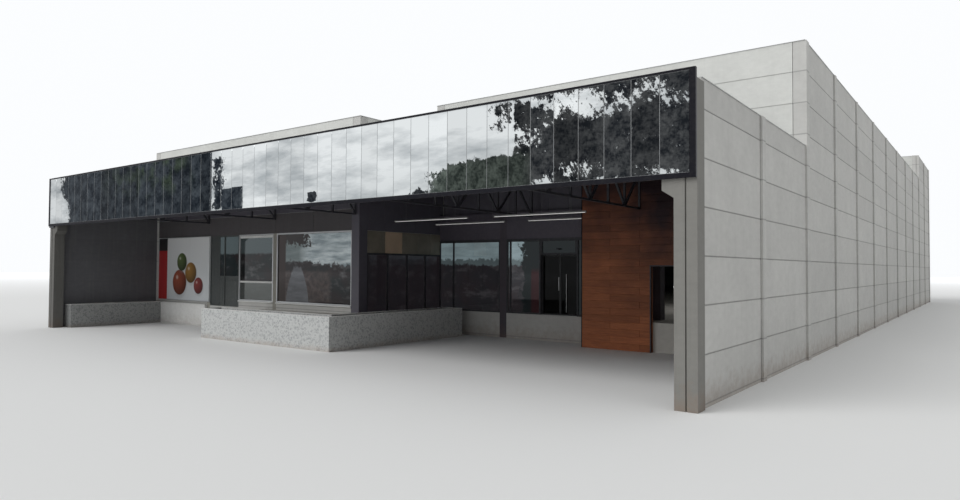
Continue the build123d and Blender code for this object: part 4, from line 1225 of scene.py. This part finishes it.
@dataclass
class MirrorFascia:
    """The row of mirror panes with their sealed joints and the screws of their rails."""

    stile: float = 0.06
    count: int = 48
    gap: float = 0.003
    foot: float = 2.36
    top: float = 3.375
    face: float = 0.006
    back: float = 0.0138
    bulge: float = 0.0012
    polish: float = 0.003
    seal_depth: float = 0.0075
    screw_depth: float = 0.044
    screw_rows: tuple[float, float] = (2.34, 3.37)

    @property
    def pitch(self) -> float:
        """Distance from pane to pane."""
        return (WIDTH - 2 * self.stile) / self.count

    def panes(self) -> None:
        """Panes as grids: the face stands out by a bulge that is 0 at the edges.

        Depth is face + polish at the rim, which is ground back, and face - bulge * sin(pi u) *
        sin(pi v) inside it.
        """
        u = np.array([0.0, 0.012, 0.2, 0.4, 0.6, 0.8, 0.988, 1.0])
        v = np.array([0.0, 0.004, 0.12, 0.25, 0.4, 0.55, 0.7, 0.85, 0.996, 1.0])
        across, up = np.meshgrid(u, v)
        near = self.stile + np.arange(self.count) * self.pitch + self.gap / 2
        x = near[:, None, None] + across[None] * (self.pitch - self.gap)
        z = np.broadcast_to(self.foot + up * (self.top - self.foot), x.shape)
        rim = (across == 0) | (across == 1) | (up == 0) | (up == 1)
        dome = self.bulge * np.sin(math.pi * across) * np.sin(math.pi * up)
        depth = self.face + np.where(rim, self.polish, 0.0) - dome
        corner = np.ix_(range(self.count), [0, -1], [0, -1])
        shape = Shape().grids(columns(x, depth, z)).grids(columns(x[corner], self.back, z[corner]), flip=True)
        pane = shape.piece("mirror_panes", Palette.mirror, "mirror_glass", smooth=True)
        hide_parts("mirror_panels")

    def build(self) -> None:
        """Panes, half-round sealant beads in the joints and round the row, and the rails' screws."""
        self.panes()
        x = self.stile + np.arange(self.count + 1) * self.pitch
        ends, rows = np.array([self.foot, self.top]), np.repeat(self.screw_rows, self.count)
        Shape().drawn(half_round(0.0055, 0.0022), columns(x, self.seal_depth, self.foot),
                      columns(x, self.seal_depth, self.top), FORWARD).drawn(
            half_round(0.006, 0.0025), columns(self.stile, self.seal_depth, ends),
            columns(WIDTH - self.stile, self.seal_depth, ends), FORWARD).piece(
            "mirror_pane_seals", Palette.pane_seal, "black_trim", smooth=True)
        x = self.stile + (np.arange(self.count) + 0.5) * self.pitch
        Shape().turned(columns(np.tile(x, 2), self.screw_depth, rows), Axis.Y, 1, [0.006, 0.006, 0.004],
                       [0.0, 0.002, 0.0035], 6).piece("fascia_rail_screws", Palette.bolt, "dark_steel")


@dataclass
class PrecastWalls:
    """Sealant in the upright gaps beside the columns of the precast walls."""

    nib: float = 0.075
    gap: float = 0.008
    set_back: float = 0.0315
    low_top: float = 3.35
    left_top: float = 4.325
    right_top: float = 5.02
    tower_top: float = 5.9
    last: float = 29.796

    def build(self) -> None:
        """Beads as rows of place, wall top and outward direction, and the outlet box high on the right."""
        middle = self.nib + self.gap / 2
        right = [(BAY - middle, self.low_top), (BAY + middle, self.low_top), (5.204, self.right_top)]
        left = [(2.704, self.left_top)]
        for n in range(3, 12):
            right += [(BAY * n - middle, self.tower_top if n > 10 else self.right_top),
                      (BAY * n + middle, self.tower_top if n >= 10 else self.right_top)]
        for n in range(2, 12):
            left += [(BAY * n - middle, self.left_top), (BAY * n + middle, self.left_top)]
        rows = [(WIDTH - self.set_back, y, top, 1, 0) for y, top in right + [(self.last, self.tower_top)]]
        rows += [(self.set_back, y, top, -1, 0) for y, top in left + [(self.last, self.left_top)]]
        rows += [(BAY * n + way * middle, DEPTH - self.set_back, top, 0, 1) for n, top in
                 ((1, self.left_top), (2, self.left_top), (5, self.tower_top)) for way in (-1, 1)]
        x, y, top, *out = np.array(rows, float).T
        Shape().drawn(half_round(0.0085, 0.003), columns(x, y, 0.002), columns(x, y, top - 0.002),
                      columns(*out, 0)).piece(
            "wall_joint_seals", Palette.seal, "precast_concrete", smooth=True)
        Shape().slabs([(14.972, 5.09, 3.37, 14.997, 5.13, 3.41)], 0.004).piece(
            "wall_outlet_box", Palette.steel, "dark_steel")


@dataclass
class FrontColumns:
    """Bearing plates and bolts on the corbels of the two front columns, a bracket and a bell push."""

    corbels: tuple[float, float] = (0.245, 14.64)
    level: float = 2.33
    plate: float = 0.008

    def build(self) -> None:
        """A plate on each corbel, four anchor bolts in it, the corner bracket and the bell push."""
        low = columns(self.corbels, 0.095, self.level)
        Shape().boxes(low, low + (0.115, 0.12, self.plate), 0.0015).piece(
            "corbel_bearing_plates", Palette.steel, "dark_steel")
        spots = [(x + dx, y, self.level + self.plate) for x in self.corbels for dx in (0.018, 0.097)
                 for y in (0.107, 0.203)]
        Shape().turned(np.array(spots), Axis.Z, 1, [0.008, 0.008, 0.006, 0.0035, 0.0035],
                       [0, 0.005, 0.006, 0.006, 0.012], 6).piece(
            "corbel_anchor_bolts", Palette.bolt, "dark_steel")
        Shape().slabs([(0.002, 0.016, 2.275, 0.236, 0.0435, 2.309)], 0.002).piece(
            "fascia_corner_bracket", Palette.black_trim, "black_trim")
        Shape().turned(np.array([14.76, 0.07, 1.226]), Axis.X, -1, [0.013, 0.013, 0.010, 0.004],
                       [0, 0.006, 0.010, 0.011], 20).piece(
            "column_bell_push", Palette.white_paint, "light_concrete", smooth=True)


@dataclass
class CanopySteel:
    """Gusset plates, bolts, lining sheets and sheet ribs of the canopy."""

    level: float = 3.23
    fall: float = 0.03
    rib_pitch: float = 0.125
    column_edge: float = 0.27
    sheet: float = 0.0118
    nodes: int = 24
    girder_end: float = 0.24
    sheets: tuple[tuple[float, ...], ...] = (
        (0.11, 7.59, 0.26, 2.49), (7.61, 14.89, 0.26, 4.99), (0.25, 14.75, 0.05, 0.26))

    def underside(self, y: float | np.ndarray) -> float | np.ndarray:
        """Height of the sheet's underside, which falls towards the building."""
        return self.level - self.fall * y

    def ribs(self) -> None:
        """Trapezoid ribs above and below the sheet, drawn along its fall and clear of the columns."""
        runs = [columns(np.arange(first, last, self.rib_pitch), 0.06, end)
                for first, last, end in ((0.2, 7.55, SHOP_Y - 0.01), (7.7, 14.85, HALL_Y - 0.01))]
        x, front, end = np.concatenate(runs).T
        front = np.where((x > self.column_edge) & (x < WIDTH - self.column_edge), front, self.column_edge)
        start, stop = columns(x, front, self.underside(front)), columns(x, end, self.underside(end))
        Shape().drawn(trapezoid(0.022, 0.012, 0.006), start, stop, DOWN).piece(
            "canopy_soffit_ribs", Palette.soffit, "roof_sheet")
        start[:, 2] += self.sheet
        stop[:, 2] += self.sheet
        Shape().drawn(trapezoid(0.03, 0.018, 0.014), start, stop, UP).piece(
            "canopy_top_ribs", Palette.roof, "roof_sheet")

    def soffit(self) -> None:
        """Thin dark lining sheets under the canopy, one for each side of the middle and one in front."""
        shape = Shape()
        for x0, x1, y0, y1 in self.sheets:
            u, v = np.meshgrid(np.linspace(x0, x1, 7), np.linspace(y0, y1, 5))
            sheet = columns(u, v, self.underside(v) - 0.0012)[None]
            shape.grids(sheet, flip=True).grids(sheet + (0, 0, 0.001))
        shape.piece("canopy_soffit_lining", Palette.soffit, "roof_sheet")

    def build(self) -> None:
        """Lining, ribs, and plates at the girder's nodes with two bolts through each."""
        self.soffit()
        self.ribs()
        x = self.girder_end + np.arange(1, self.nodes) * (WIDTH - 2 * self.girder_end) / self.nodes
        feet = np.concatenate([columns(x - 0.035, 0.131, level) for level in (2.35, 3.12)])
        Shape().boxes(feet, feet + (0.07, 0.006, 0.065), 0.001).piece(
            "girder_gusset_plates", Palette.steel, "dark_steel")
        spots = np.concatenate([feet + (beside, 0.0, 0.032) for beside in (0.018, 0.052)])
        Shape().turned(spots, Axis.Y, -1, [0.0065, 0.0065, 0.005], [0.0, 0.004, 0.005], 6).piece(
            "girder_bolts", Palette.bolt, "dark_steel")


def glaze(node: str, name: str, slot: str, seat: float = 0.01) -> None:
    """Half-round rubber strips round each sheet of a glazed CAD node, on its outer face.

    Each sheet is a box with four points a face, 24 in a row. A sheet that is thin along Y
    faces -Y, and one that is thin along X faces +X.

    Args:
        node: the CAD node of the sheets.
        name: name of the new piece.
        slot: material slot of the frame that holds them, which piece does not use.
        seat: how far inside the sheet's edge the strip's middle lies.
    """
    spots = points_of(node).reshape(-1, 24, 3)
    low, high = spots.min(1), spots.max(1)
    shape = Shape()
    for axis, face, out in ((1, low, (0, -1, 0)), (0, high, (1, 0, 0))):
        thin = (high - low)[:, axis] < 0.02
        a, b = low[thin] + seat, high[thin] - seat
        corners = np.stack([a, b, b, a], 1)
        corners[:, :, 2] = np.stack([a[:, 2], a[:, 2], b[:, 2], b[:, 2]], 1)
        corners[:, :, axis] = face[thin][:, axis, None]
        ahead = np.roll(corners, -1, 1).reshape(-1, 3)
        shape.drawn(half_round(0.008, 0.004), corners.reshape(-1, 3), ahead, np.array(out))
    shape.piece(name, Palette.seal, slot, smooth=True)


@dataclass
class ShopFront:
    """Sills, gaskets, rails and panels of the shop front under the canopy."""

    leaves: tuple[tuple[float, float], ...] = ((2.59, 3.115), (3.145, 3.67))
    bays: tuple[tuple[float, float], ...] = ((3.705, 4.935), (5.065, 7.395))
    lintel_pitch: float = 1.25

    def build(self) -> None:
        """Glazed panel, sills, head strips, gaskets, the poster's battens and the lintels' joints."""
        Shape().slabs([(a, 2.506, 1.163, b, 2.548, 1.197) for a, b in self.leaves], 0.002).piece(
            "door_panel_rails", Palette.green, "green_panel")
        foot = [(a + 0.002, 2.514, 0.532, b - 0.002, 2.536, 1.163) for a, b in self.leaves]
        raised = [(a + 0.05, 2.507, 0.60, b - 0.05, 2.520, 1.10) for a, b in self.leaves]
        Shape().slabs(foot, 0.003).slabs(raised, 0.006).piece("door_panel_foot", Palette.green, "green_panel")
        Shape().slabs([(2.602, 2.5045, 0.54, 2.935, 2.5205, 2.098)], 0.004).piece(
            "door_panel_stile", Palette.green, "green_panel")
        Shape().slabs([(a, 2.468, 0.628, b, 2.512, 0.654) for a, b in self.bays], 0.004).piece(
            "window_sills", Palette.white_paint, "white_paint")
        Shape().slabs([(3.735, 2.507, 2.045, 4.905, 2.520, 2.092),
                       (3.722, 2.507, 1.055, 4.918, 2.520, 1.095)], 0.003).piece(
            "window_head_strips", Palette.white_paint, "white_paint")
        glaze("shop_window_glass", "shop_window_gaskets", "aluminium_frame")
        battens = ((0.25, 0.575, 2.56, 0.593), (0.25, 2.107, 2.56, 2.125), (0.25, 0.593, 0.264, 2.107),
                   (2.546, 0.593, 2.56, 2.107))
        Shape().slabs([(x0, 2.468, z0, x1, 2.478, z1) for x0, z0, x1, z1 in battens], 0.002).piece(
            "poster_edge_battens", Palette.aluminium, "aluminium_frame")
        x = np.arange(self.lintel_pitch, 7.4, self.lintel_pitch)
        Shape().drawn(half_round(0.01, 0.003), columns(x, 2.4995, 2.13), columns(x, 2.4995, 2.535),
                      FORWARD).piece("lintel_joint_strips", Palette.seal, "lintel_concrete", smooth=True)


@dataclass
class CourtPaintAndShadeLining:
    """Dark lining boards high on the walls under the canopy, and round the court's corner post, standing for
    dark paint and painted shade.
    """

    thick: float = 0.008
    board: float = 0.45
    foot: float = 2.543

    def runs(self, start: float, end: float) -> tuple[np.ndarray, np.ndarray]:
        """Near and far edge of boards of about one width between two values."""
        marks = np.linspace(start, end, max(2, round((end - start) / self.board) + 1))
        return marks[:-1] + 0.0015, marks[1:] - 0.0015

    def build(self) -> None:
        """Boards over the shop front, along the court's side wall, over the entrance, and the post's."""
        shape = Shape()
        # Dark boards where the canopy's shade falls: painted shade, with the walls' dark paint.
        for start, end, wall in ((0.21, 7.39, SHOP_Y), (2.705, 4.985, None), (7.612, 14.79, HALL_Y)):
            near, far = self.runs(start, end)
            head = CanopySteel().underside(wall or far) - 0.003
            if wall:
                shape.boxes(columns(near, wall - self.thick, self.foot), columns(far, wall, head), 0.001)
            else:
                shape.boxes(columns(COURT_X, near, 2.128), columns(COURT_X + self.thick, far, head), 0.001)
        shape.piece("court_paint_and_shade_boards", Palette.lining, "dark_steel")
        Shape().slabs([(7.394, SHOP_Y - self.thick, 0.502, COURT_X, SHOP_Y, 3.15),
                       (COURT_X, 2.4925, 0.502, COURT_X + self.thick, 2.703, 3.14)], 0.001).piece(
            "court_corner_paint_and_shade_casing", Palette.lining, "dark_steel")


@dataclass
class Kiosk:
    """The board panels over the court windows, one of them light, and the rail under them."""

    foot: float = 1.69
    head: float = 2.125
    edges: tuple[float, ...] = (2.704, 3.19, 3.68, 4.12, 4.56, 4.996)
    light: int = 1

    def build(self) -> None:
        """Bevelled boards side by side with open joints, and a counter rail under them."""
        boards = [(COURT_X, a + 0.003, self.foot + 0.004, COURT_X + 0.012, b - 0.003, self.head - 0.004)
                  for a, b in zip(self.edges, self.edges[1:])]
        light = boards.pop(self.light)
        Shape().slabs(boards, 0.003).piece("kiosk_dark_boards", Palette.kiosk, "kiosk_board")
        Shape().slabs([light], 0.003).piece("kiosk_light_board", Palette.kiosk_light, "kiosk_board")
        Shape().slabs([(7.598, 2.704, 1.668, 7.622, 4.996, self.foot)], 0.003).piece(
            "kiosk_head_rail", Palette.steel, "dark_steel")


@dataclass
class Entrance:
    """Gaskets, pull bars, threshold and trims of the glass entrance front."""

    post: tuple[float, float] = (9.222, 9.39)

    def build(self) -> None:
        """Gaskets round the fixed panes, threshold, cover strips, and what rides on the leaves."""
        glaze("entrance_glass", "entrance_gaskets", "black_trim")
        Shape().slabs([(10.2, 4.874, 0.4995, 11.0, 4.896, 0.5035), (10.2, 4.9, 0.4995, 11.0, 4.928, 0.5025)],
                      0.001).piece("door_threshold", Palette.aluminium, "aluminium_frame")
        Shape().slabs([(7.604, 4.862, 1.975, self.post[0] - 0.003, 4.8705, 2.0),
                       (self.post[1] + 0.003, 4.862, 1.975, 11.396, 4.8705, 2.0)], 0.002).piece(
            "entrance_head_trim", Palette.steel, "dark_steel")
        Shape().slabs([(10.56, 4.845, 1.77, 10.64, 4.871, 1.80)], 0.004).piece(
            "door_sensor_housing", Palette.black_trim, "black_trim")
        for side, x, foot, tall in (("left", 10.573, 0.98, 0.26), ("right", 10.74, 0.56, 0.74)):
            ends = columns(x, 4.9455, [foot + 0.04, foot + tall - 0.04])
            Shape().turned(np.array([x, 4.9385, foot]), Axis.Z, 1, [0.006, 0.0065, 0.0065, 0.006],
                           [0, 0.004, tall - 0.004, tall], 16).turned(
                ends, Axis.Y, -1, [0.004, 0.004], [0, 0.007], 10).piece(
                f"{side}_leaf_pull_bar", Palette.aluminium, "black_trim", f"{side}_door_leaf", smooth=True)


@dataclass
class CladWall:
    """Rows of bevelled boards on the clad wall, and the trims of the goods opening."""

    front: float = 4.35
    left: float = 11.4
    right: float = 14.9
    top: float = 2.96
    opening: tuple[float, float] = (12.7, 14.45)
    opening_top: float = 1.45
    pitch: float = 1.45 / 12
    board: float = 1.1
    thick: float = 0.009
    gap: float = 0.004

    def boards(self) -> None:
        """Boards in level rows, cut at the opening, with staggered butt joints.

        Row n runs from n to n + 1 pitches, less the gap; every second row's joint is half a board on.
        """
        rows = []
        for row in range(math.ceil(self.top / self.pitch)):
            z0, z1 = row * self.pitch + self.gap / 2, min((row + 1) * self.pitch, self.top) - self.gap / 2
            first = self.left + self.board / (2 if row % 2 else 1)
            cuts = [self.left, *np.arange(first, self.right - 0.2, self.board), self.right]
            for span in zip(cuts, cuts[1:]):
                rows += [(a + 0.001, self.front - self.thick, max(z0, 0.001), b - 0.001, self.front, z1)
                         for a, b in self.spans(*span, z0)]
            rows.append((self.left - self.thick, self.front + 0.002, max(z0, 0.001), self.left, 4.86, z1))
        Shape().slabs(rows, 0.0015).piece("clad_wall_boards", Palette.boards, "clad_board")

    def spans(self, x0: float, x1: float, z: float) -> list[tuple[float, float]]:
        """The parts of a board that aren't in the opening.

        Args:
            x0: near end of the board.
            x1: far end of the board.
            z: its foot.

        Returns:
            Near and far end of each part.
        """
        if z > self.opening_top - 0.01:
            return [(x0, x1)]
        kept = [(x0, min(x1, self.opening[0])), (max(x0, self.opening[1]), x1)]
        return [(a, b) for a, b in kept if b - a > 0.02]

    def build(self) -> None:
        """Boards, corner angle, top flashing and the steel edge of the goods opening."""
        self.boards()
        a, b = self.opening
        x, y0, y1, head = self.left - 0.013, self.front - 0.013, self.front + 0.03, self.opening_top
        Shape().slabs([(x, y0, 0.001, self.left + 0.004, self.front + 0.004, self.top),
                       (x, y0, self.top - 0.01, self.right, self.front, self.top + 0.012)], 0.002).piece(
            "clad_wall_corner_trims", Palette.fascia_trim, "black_trim")
        Shape().slabs([(a - 0.02, y0, 0.001, a, y1, head), (b, y0, 0.001, b + 0.02, y1, head),
                       (a - 0.02, y0, head, b + 0.02, y1, head + 0.02)], 0.002).piece(
            "goods_opening_trims", Palette.steel, "dark_steel")


@dataclass
class Planters:
    """Coping slabs and soil of the planting troughs.

    A wall is its two corners, the axis that it runs along and its top; a bed is its reach along X
    and Y and its level.
    """

    walls: tuple[tuple[float, ...], ...] = (
        (4.7, 1.0, 8.5, 1.06, 0, 0.575), (8.44, 1.06, 8.5, 4.55, 1, 0.575),
        (8.05, 4.49, 8.44, 4.55, 0, 0.575), (8.05, 1.39, 8.11, 4.49, 1, 0.575),
        (4.76, 1.39, 8.05, 1.45, 0, 0.575), (4.7, 1.06, 4.76, 1.45, 1, 0.575),
        (0.1, 0.33, 0.45, 0.39, 0, 0.515), (0.39, 0.39, 0.45, 2.38, 1, 0.515),
        (0.1, 2.38, 0.45, 2.44, 0, 0.515), (0.1, 0.39, 0.16, 2.38, 1, 0.515))
    beds: tuple[tuple[float, ...], ...] = (
        (4.762, 8.438, 1.062, 1.388, 0.515), (8.112, 8.438, 1.388, 4.488, 0.515),
        (0.162, 0.388, 0.392, 2.378, 0.455))
    slab: float = 0.6
    joint: float = 0.0008
    thick: float = 0.008
    mounds: int = 260
    lift: float = 0.012

    def copings(self) -> None:
        """Slabs of about one length with fine joints along each trough wall."""
        rows = []
        for x0, y0, x1, y1, axis, level in self.walls:
            start, end = ((x0, x1), (y0, y1))[axis]
            marks = np.linspace(start, end, max(1, round((end - start) / self.slab)) + 1)
            for a, b in zip(marks + self.joint, marks[1:] - self.joint):
                near, far = ((x0, a), (x1, b)) if axis else ((a, y0), (b, y1))
                rows.append((*near, level, *far, level + self.thick))
        Shape().slabs(rows, 0.002).piece("planter_copings", Palette.coping, "mosaic")

    def soil(self) -> None:
        """Crumbly surface: a base level plus many small round mounds, held down at the walls.

        The height is level + lift * edge * sum of mounds, where a mound is exp(-(d / r) ** 2) and edge
        goes from 0 at the trough's wall to 1 within 30 mm.
        """
        luck = np.random.default_rng(7)
        shape = Shape()
        for x0, x1, y0, y1, level in self.beds:
            nx, ny = int((x1 - x0) / 0.02) + 2, int((y1 - y0) / 0.02) + 2
            x, y = np.meshgrid(np.linspace(x0, x1, nx), np.linspace(y0, y1, ny))
            many = int((x1 - x0) * (y1 - y0) * self.mounds)
            middles = luck.uniform((x0, y0), (x1, y1), (many, 2))
            radii = luck.uniform(0.015, 0.05, many)
            away = (x[..., None] - middles[:, 0]) ** 2 + (y[..., None] - middles[:, 1]) ** 2
            rise = np.minimum(np.exp(-away / radii ** 2).sum(-1), 2.5)
            edge = np.clip(np.minimum(np.minimum(x - x0, x1 - x), np.minimum(y - y0, y1 - y)) / 0.03, 0, 1)
            shape.grids(columns(x, y, level + 0.001 + self.lift * edge * rise)[None])
        shape.piece("planter_soil_surface", Palette.earth, "soil", smooth=True)

    def build(self) -> None:
        """Copings and soil."""
        self.copings()
        self.soil()


@dataclass
class Lights:
    """Diffusers and end caps of the linear lights, placed by the CAD node's own bars."""

    section: float = 0.024
    lens: tuple[float, float] = (0.019, 0.009)
    cap: float = 0.015
    lap: float = 0.012

    def bars(self) -> tuple[np.ndarray, np.ndarray]:
        """Lowest and highest corner of each bar's underside, paired from the node's lowest points.

        Returns:
            Two arrays with one row a bar.
        """
        spots = points_of("hung_lights")
        feet = spots[spots[:, 2] < spots[:, 2].min() + 0.001]
        low, high = [], []
        for near, far in np.unique(feet[:, 1].round(4)).reshape(-1, 2):
            ends = np.unique(feet[np.abs(feet[:, 1] - near) < 0.001][:, 0].round(4)).reshape(-1, 2)
            low.append(columns(ends[:, 0], near, feet[0, 2]))
            high.append(columns(ends[:, 1], far, feet[0, 2]))
        return np.concatenate(low), np.concatenate(high)

    def build(self) -> None:
        """Half-round lenses under the bodies, and caps over their ends."""
        (x0, near, level), (x1, far, _) = (corners.T for corners in self.bars())
        y = (near + far) / 2
        Shape().drawn(half_round(*self.lens), columns(x0 + self.lap, y, level),
                      columns(x1 - self.lap, y, level), DOWN).piece(
            "lamp_diffusers", Palette.lamp, "lamp_white", smooth=True)
        caps = np.concatenate([columns(x, near - 0.002, level - 0.009)
                               for x in (x0 + self.lap - self.cap, x1 - self.lap)])
        Shape().boxes(caps, caps + (self.cap, self.section + 0.004, self.section + 0.011), 0.002).piece(
            "lamp_end_caps", Palette.lamp_body, "lamp_white")


@dataclass
class Roofs:
    """Ribs and ridge caps of the low roofs behind the parapets.

    A roof is its reach along X and Y and the height of its eaves.
    """

    rise: float = 0.05
    pitch: float = 0.25
    inset: float = 0.13
    rib: tuple[float, float, float] = (0.04, 0.022, 0.018)
    roofs: tuple[tuple[float, ...], ...] = (
        (0.1, 7.4, 2.6, 29.9, 3.825), (7.6, 14.9, 5.1, 25.0, 4.52), (7.6, 10.0, 25.0, 29.9, 4.52))

    def build(self) -> None:
        """Ribs from eaves to ridge on both sides of every roof, and folded caps along the ridges."""
        ribs, caps = Shape(), Shape()
        fold = np.array([(0.14, 0.008), (0.14, 0.012), (0.0, 0.03), (-0.14, 0.012), (-0.14, 0.008),
                         (0.0, 0.024)])
        for x0, x1, y0, y1, eaves in self.roofs:
            y = np.arange(y0 + 0.1, y1 - 0.05, self.pitch)
            middle, ridge = (x0 + x1) / 2, eaves + (x1 - x0) / 2 * self.rise
            start = np.concatenate([columns(x, y, eaves + self.inset * self.rise)
                                    for x in (x0 + self.inset, x1 - self.inset)])
            ribs.drawn(trapezoid(*self.rib), start, columns(middle, np.tile(y, 2), ridge), UP)
            caps.drawn(fold, columns(middle, y0 + 0.02, ridge), columns(middle, y1 - 0.02, ridge), UP)
        y = np.arange(25.25, 29.8, self.pitch)
        ribs.drawn(trapezoid(*self.rib), columns(10.2, y, 5.68), columns(14.77, y, 5.68), UP)
        ribs.piece("roof_sheet_ribs", Palette.roof, "roof_sheet")
        caps.piece("roof_ridge_caps", Palette.capping, "roof_sheet")


# Studio


@dataclass
class Studio:
    """Camera at the photograph's viewpoint, plain floor and soft light."""

    place: tuple[float, float, float] = (9.8275, -21.5965, 1.4035)
    yaw: float = 36.923
    pitch: float = 1.524
    roll: float = 0.307
    lens: float = 25.706
    pale: Colour = rgb(0.97, 0.985, 1.0)
    reach: float = 150.0

    def camera(self) -> None:
        """Camera turned from +Y towards -X by the yaw, raised by the pitch and rolled."""
        yaw, pitch, roll = (math.radians(angle) for angle in (self.yaw, self.pitch, self.roll))
        ahead = Vector((-math.sin(yaw) * math.cos(pitch), math.cos(yaw) * math.cos(pitch), math.sin(pitch)))
        level = Vector((math.cos(yaw), math.sin(yaw), 0))
        up = level.cross(ahead)
        right = level * math.cos(roll) + up * math.sin(roll)
        top = up * math.cos(roll) - level * math.sin(roll)
        data = bpy.data.cameras.new("photo_camera")
        data.lens, data.sensor_width, data.clip_end = self.lens, 36.0, 400.0
        camera = linked("photo_camera", data)
        turn = Matrix((right, top, -ahead)).transposed().to_4x4()
        camera.matrix_world = Matrix.Translation(self.place) @ turn
        bpy.context.scene.camera = camera

    def world(self) -> None:
        """Pale surroundings: white to the camera, to reflections and through glass, softer as light."""
        world = bpy.data.worlds.new("pale_studio")
        bpy.context.scene.world = world
        world.use_nodes = True
        graph = Graph(world.node_tree)
        rays = graph.add("ShaderNodeLightPath", {}).outputs
        seen, glossy, through = (Wire(graph, rays[f"Is {kind} Ray"])
                                 for kind in ("Camera", "Glossy", "Transmission"))
        seen = seen.combine("MAXIMUM", glossy.combine("MAXIMUM", through))
        background = world.node_tree.nodes["Background"]
        graph.put(self.pale, background.inputs[0])
        graph.put(seen.spread(0.0, 1.0, 0.58, 1.0), background.inputs[1])

    def lamps(self) -> None:
        """A dim lamp in the hall behind the goods opening, and one wide soft sun from the front left."""
        area = bpy.data.lights.new("hall_lamp", "AREA")
        area.energy, area.size = 26.0, 2.0
        linked("hall_lamp", area).location = (5.6, -6.2, 2.6)
        sun = bpy.data.lights.new("soft_key", "SUN")
        sun.energy, sun.angle = 1.5, math.radians(40)
        turn = Vector((-0.42, -0.72, 0.62)).to_track_quat("Z", "Y")
        linked("soft_key", sun).rotation_euler = turn.to_euler()

    def ground(self) -> None:
        """Large pale floor just under the building, which melts into the surroundings far away."""
        mesh = bpy.data.meshes.new("studio_floor")
        corners = [(self.reach * x, self.reach * y, -0.001) for x, y in ((-1, -1), (1, -1), (1, 1), (-1, 1))]
        mesh.from_pydata(corners, [], [(0, 1, 2, 3)])
        floor = linked("studio_floor", mesh)
        material = bpy.data.materials.new("studio_floor_paint")
        material.use_nodes = True
        graph = Graph(material.node_tree)
        away = graph.node("ShaderNodeVectorMath", {0: graph.place}, "Value", operation="LENGTH")
        far = away.spread(26.0, 90.0)
        graph.shade(Roughness=0.9, Base_Color=far.mix(rgb(0.80, 0.80, 0.79), rgb(0.0, 0.0, 0.0)),
                    Emission_Color=far.mix(rgb(0.0, 0.0, 0.0), self.pale), Emission_Strength=1.0)
        mesh.materials.append(material)

    def build(self) -> None:
        """Camera, surroundings, lamps and floor."""
        bpy.context.scene.view_settings.view_transform = "Standard"
        self.camera()
        self.world()
        self.lamps()
        self.ground()


def main() -> None:
    """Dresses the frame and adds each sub-assembly."""
    logging.basicConfig(level=logging.INFO, format="%(name)s %(message)s")
    Studio().build()
    Palette.dress()
    for assembly in (MirrorFascia(), PrecastWalls(), FrontColumns(), CanopySteel(), ShopFront(),
                     CourtPaintAndShadeLining(), Kiosk(), Entrance(), CladWall(), Planters(), Lights(), Roofs()):
        LOG.info("building %s", type(assembly).__name__)
        assembly.build()


if __name__ == "__main__":
    main()
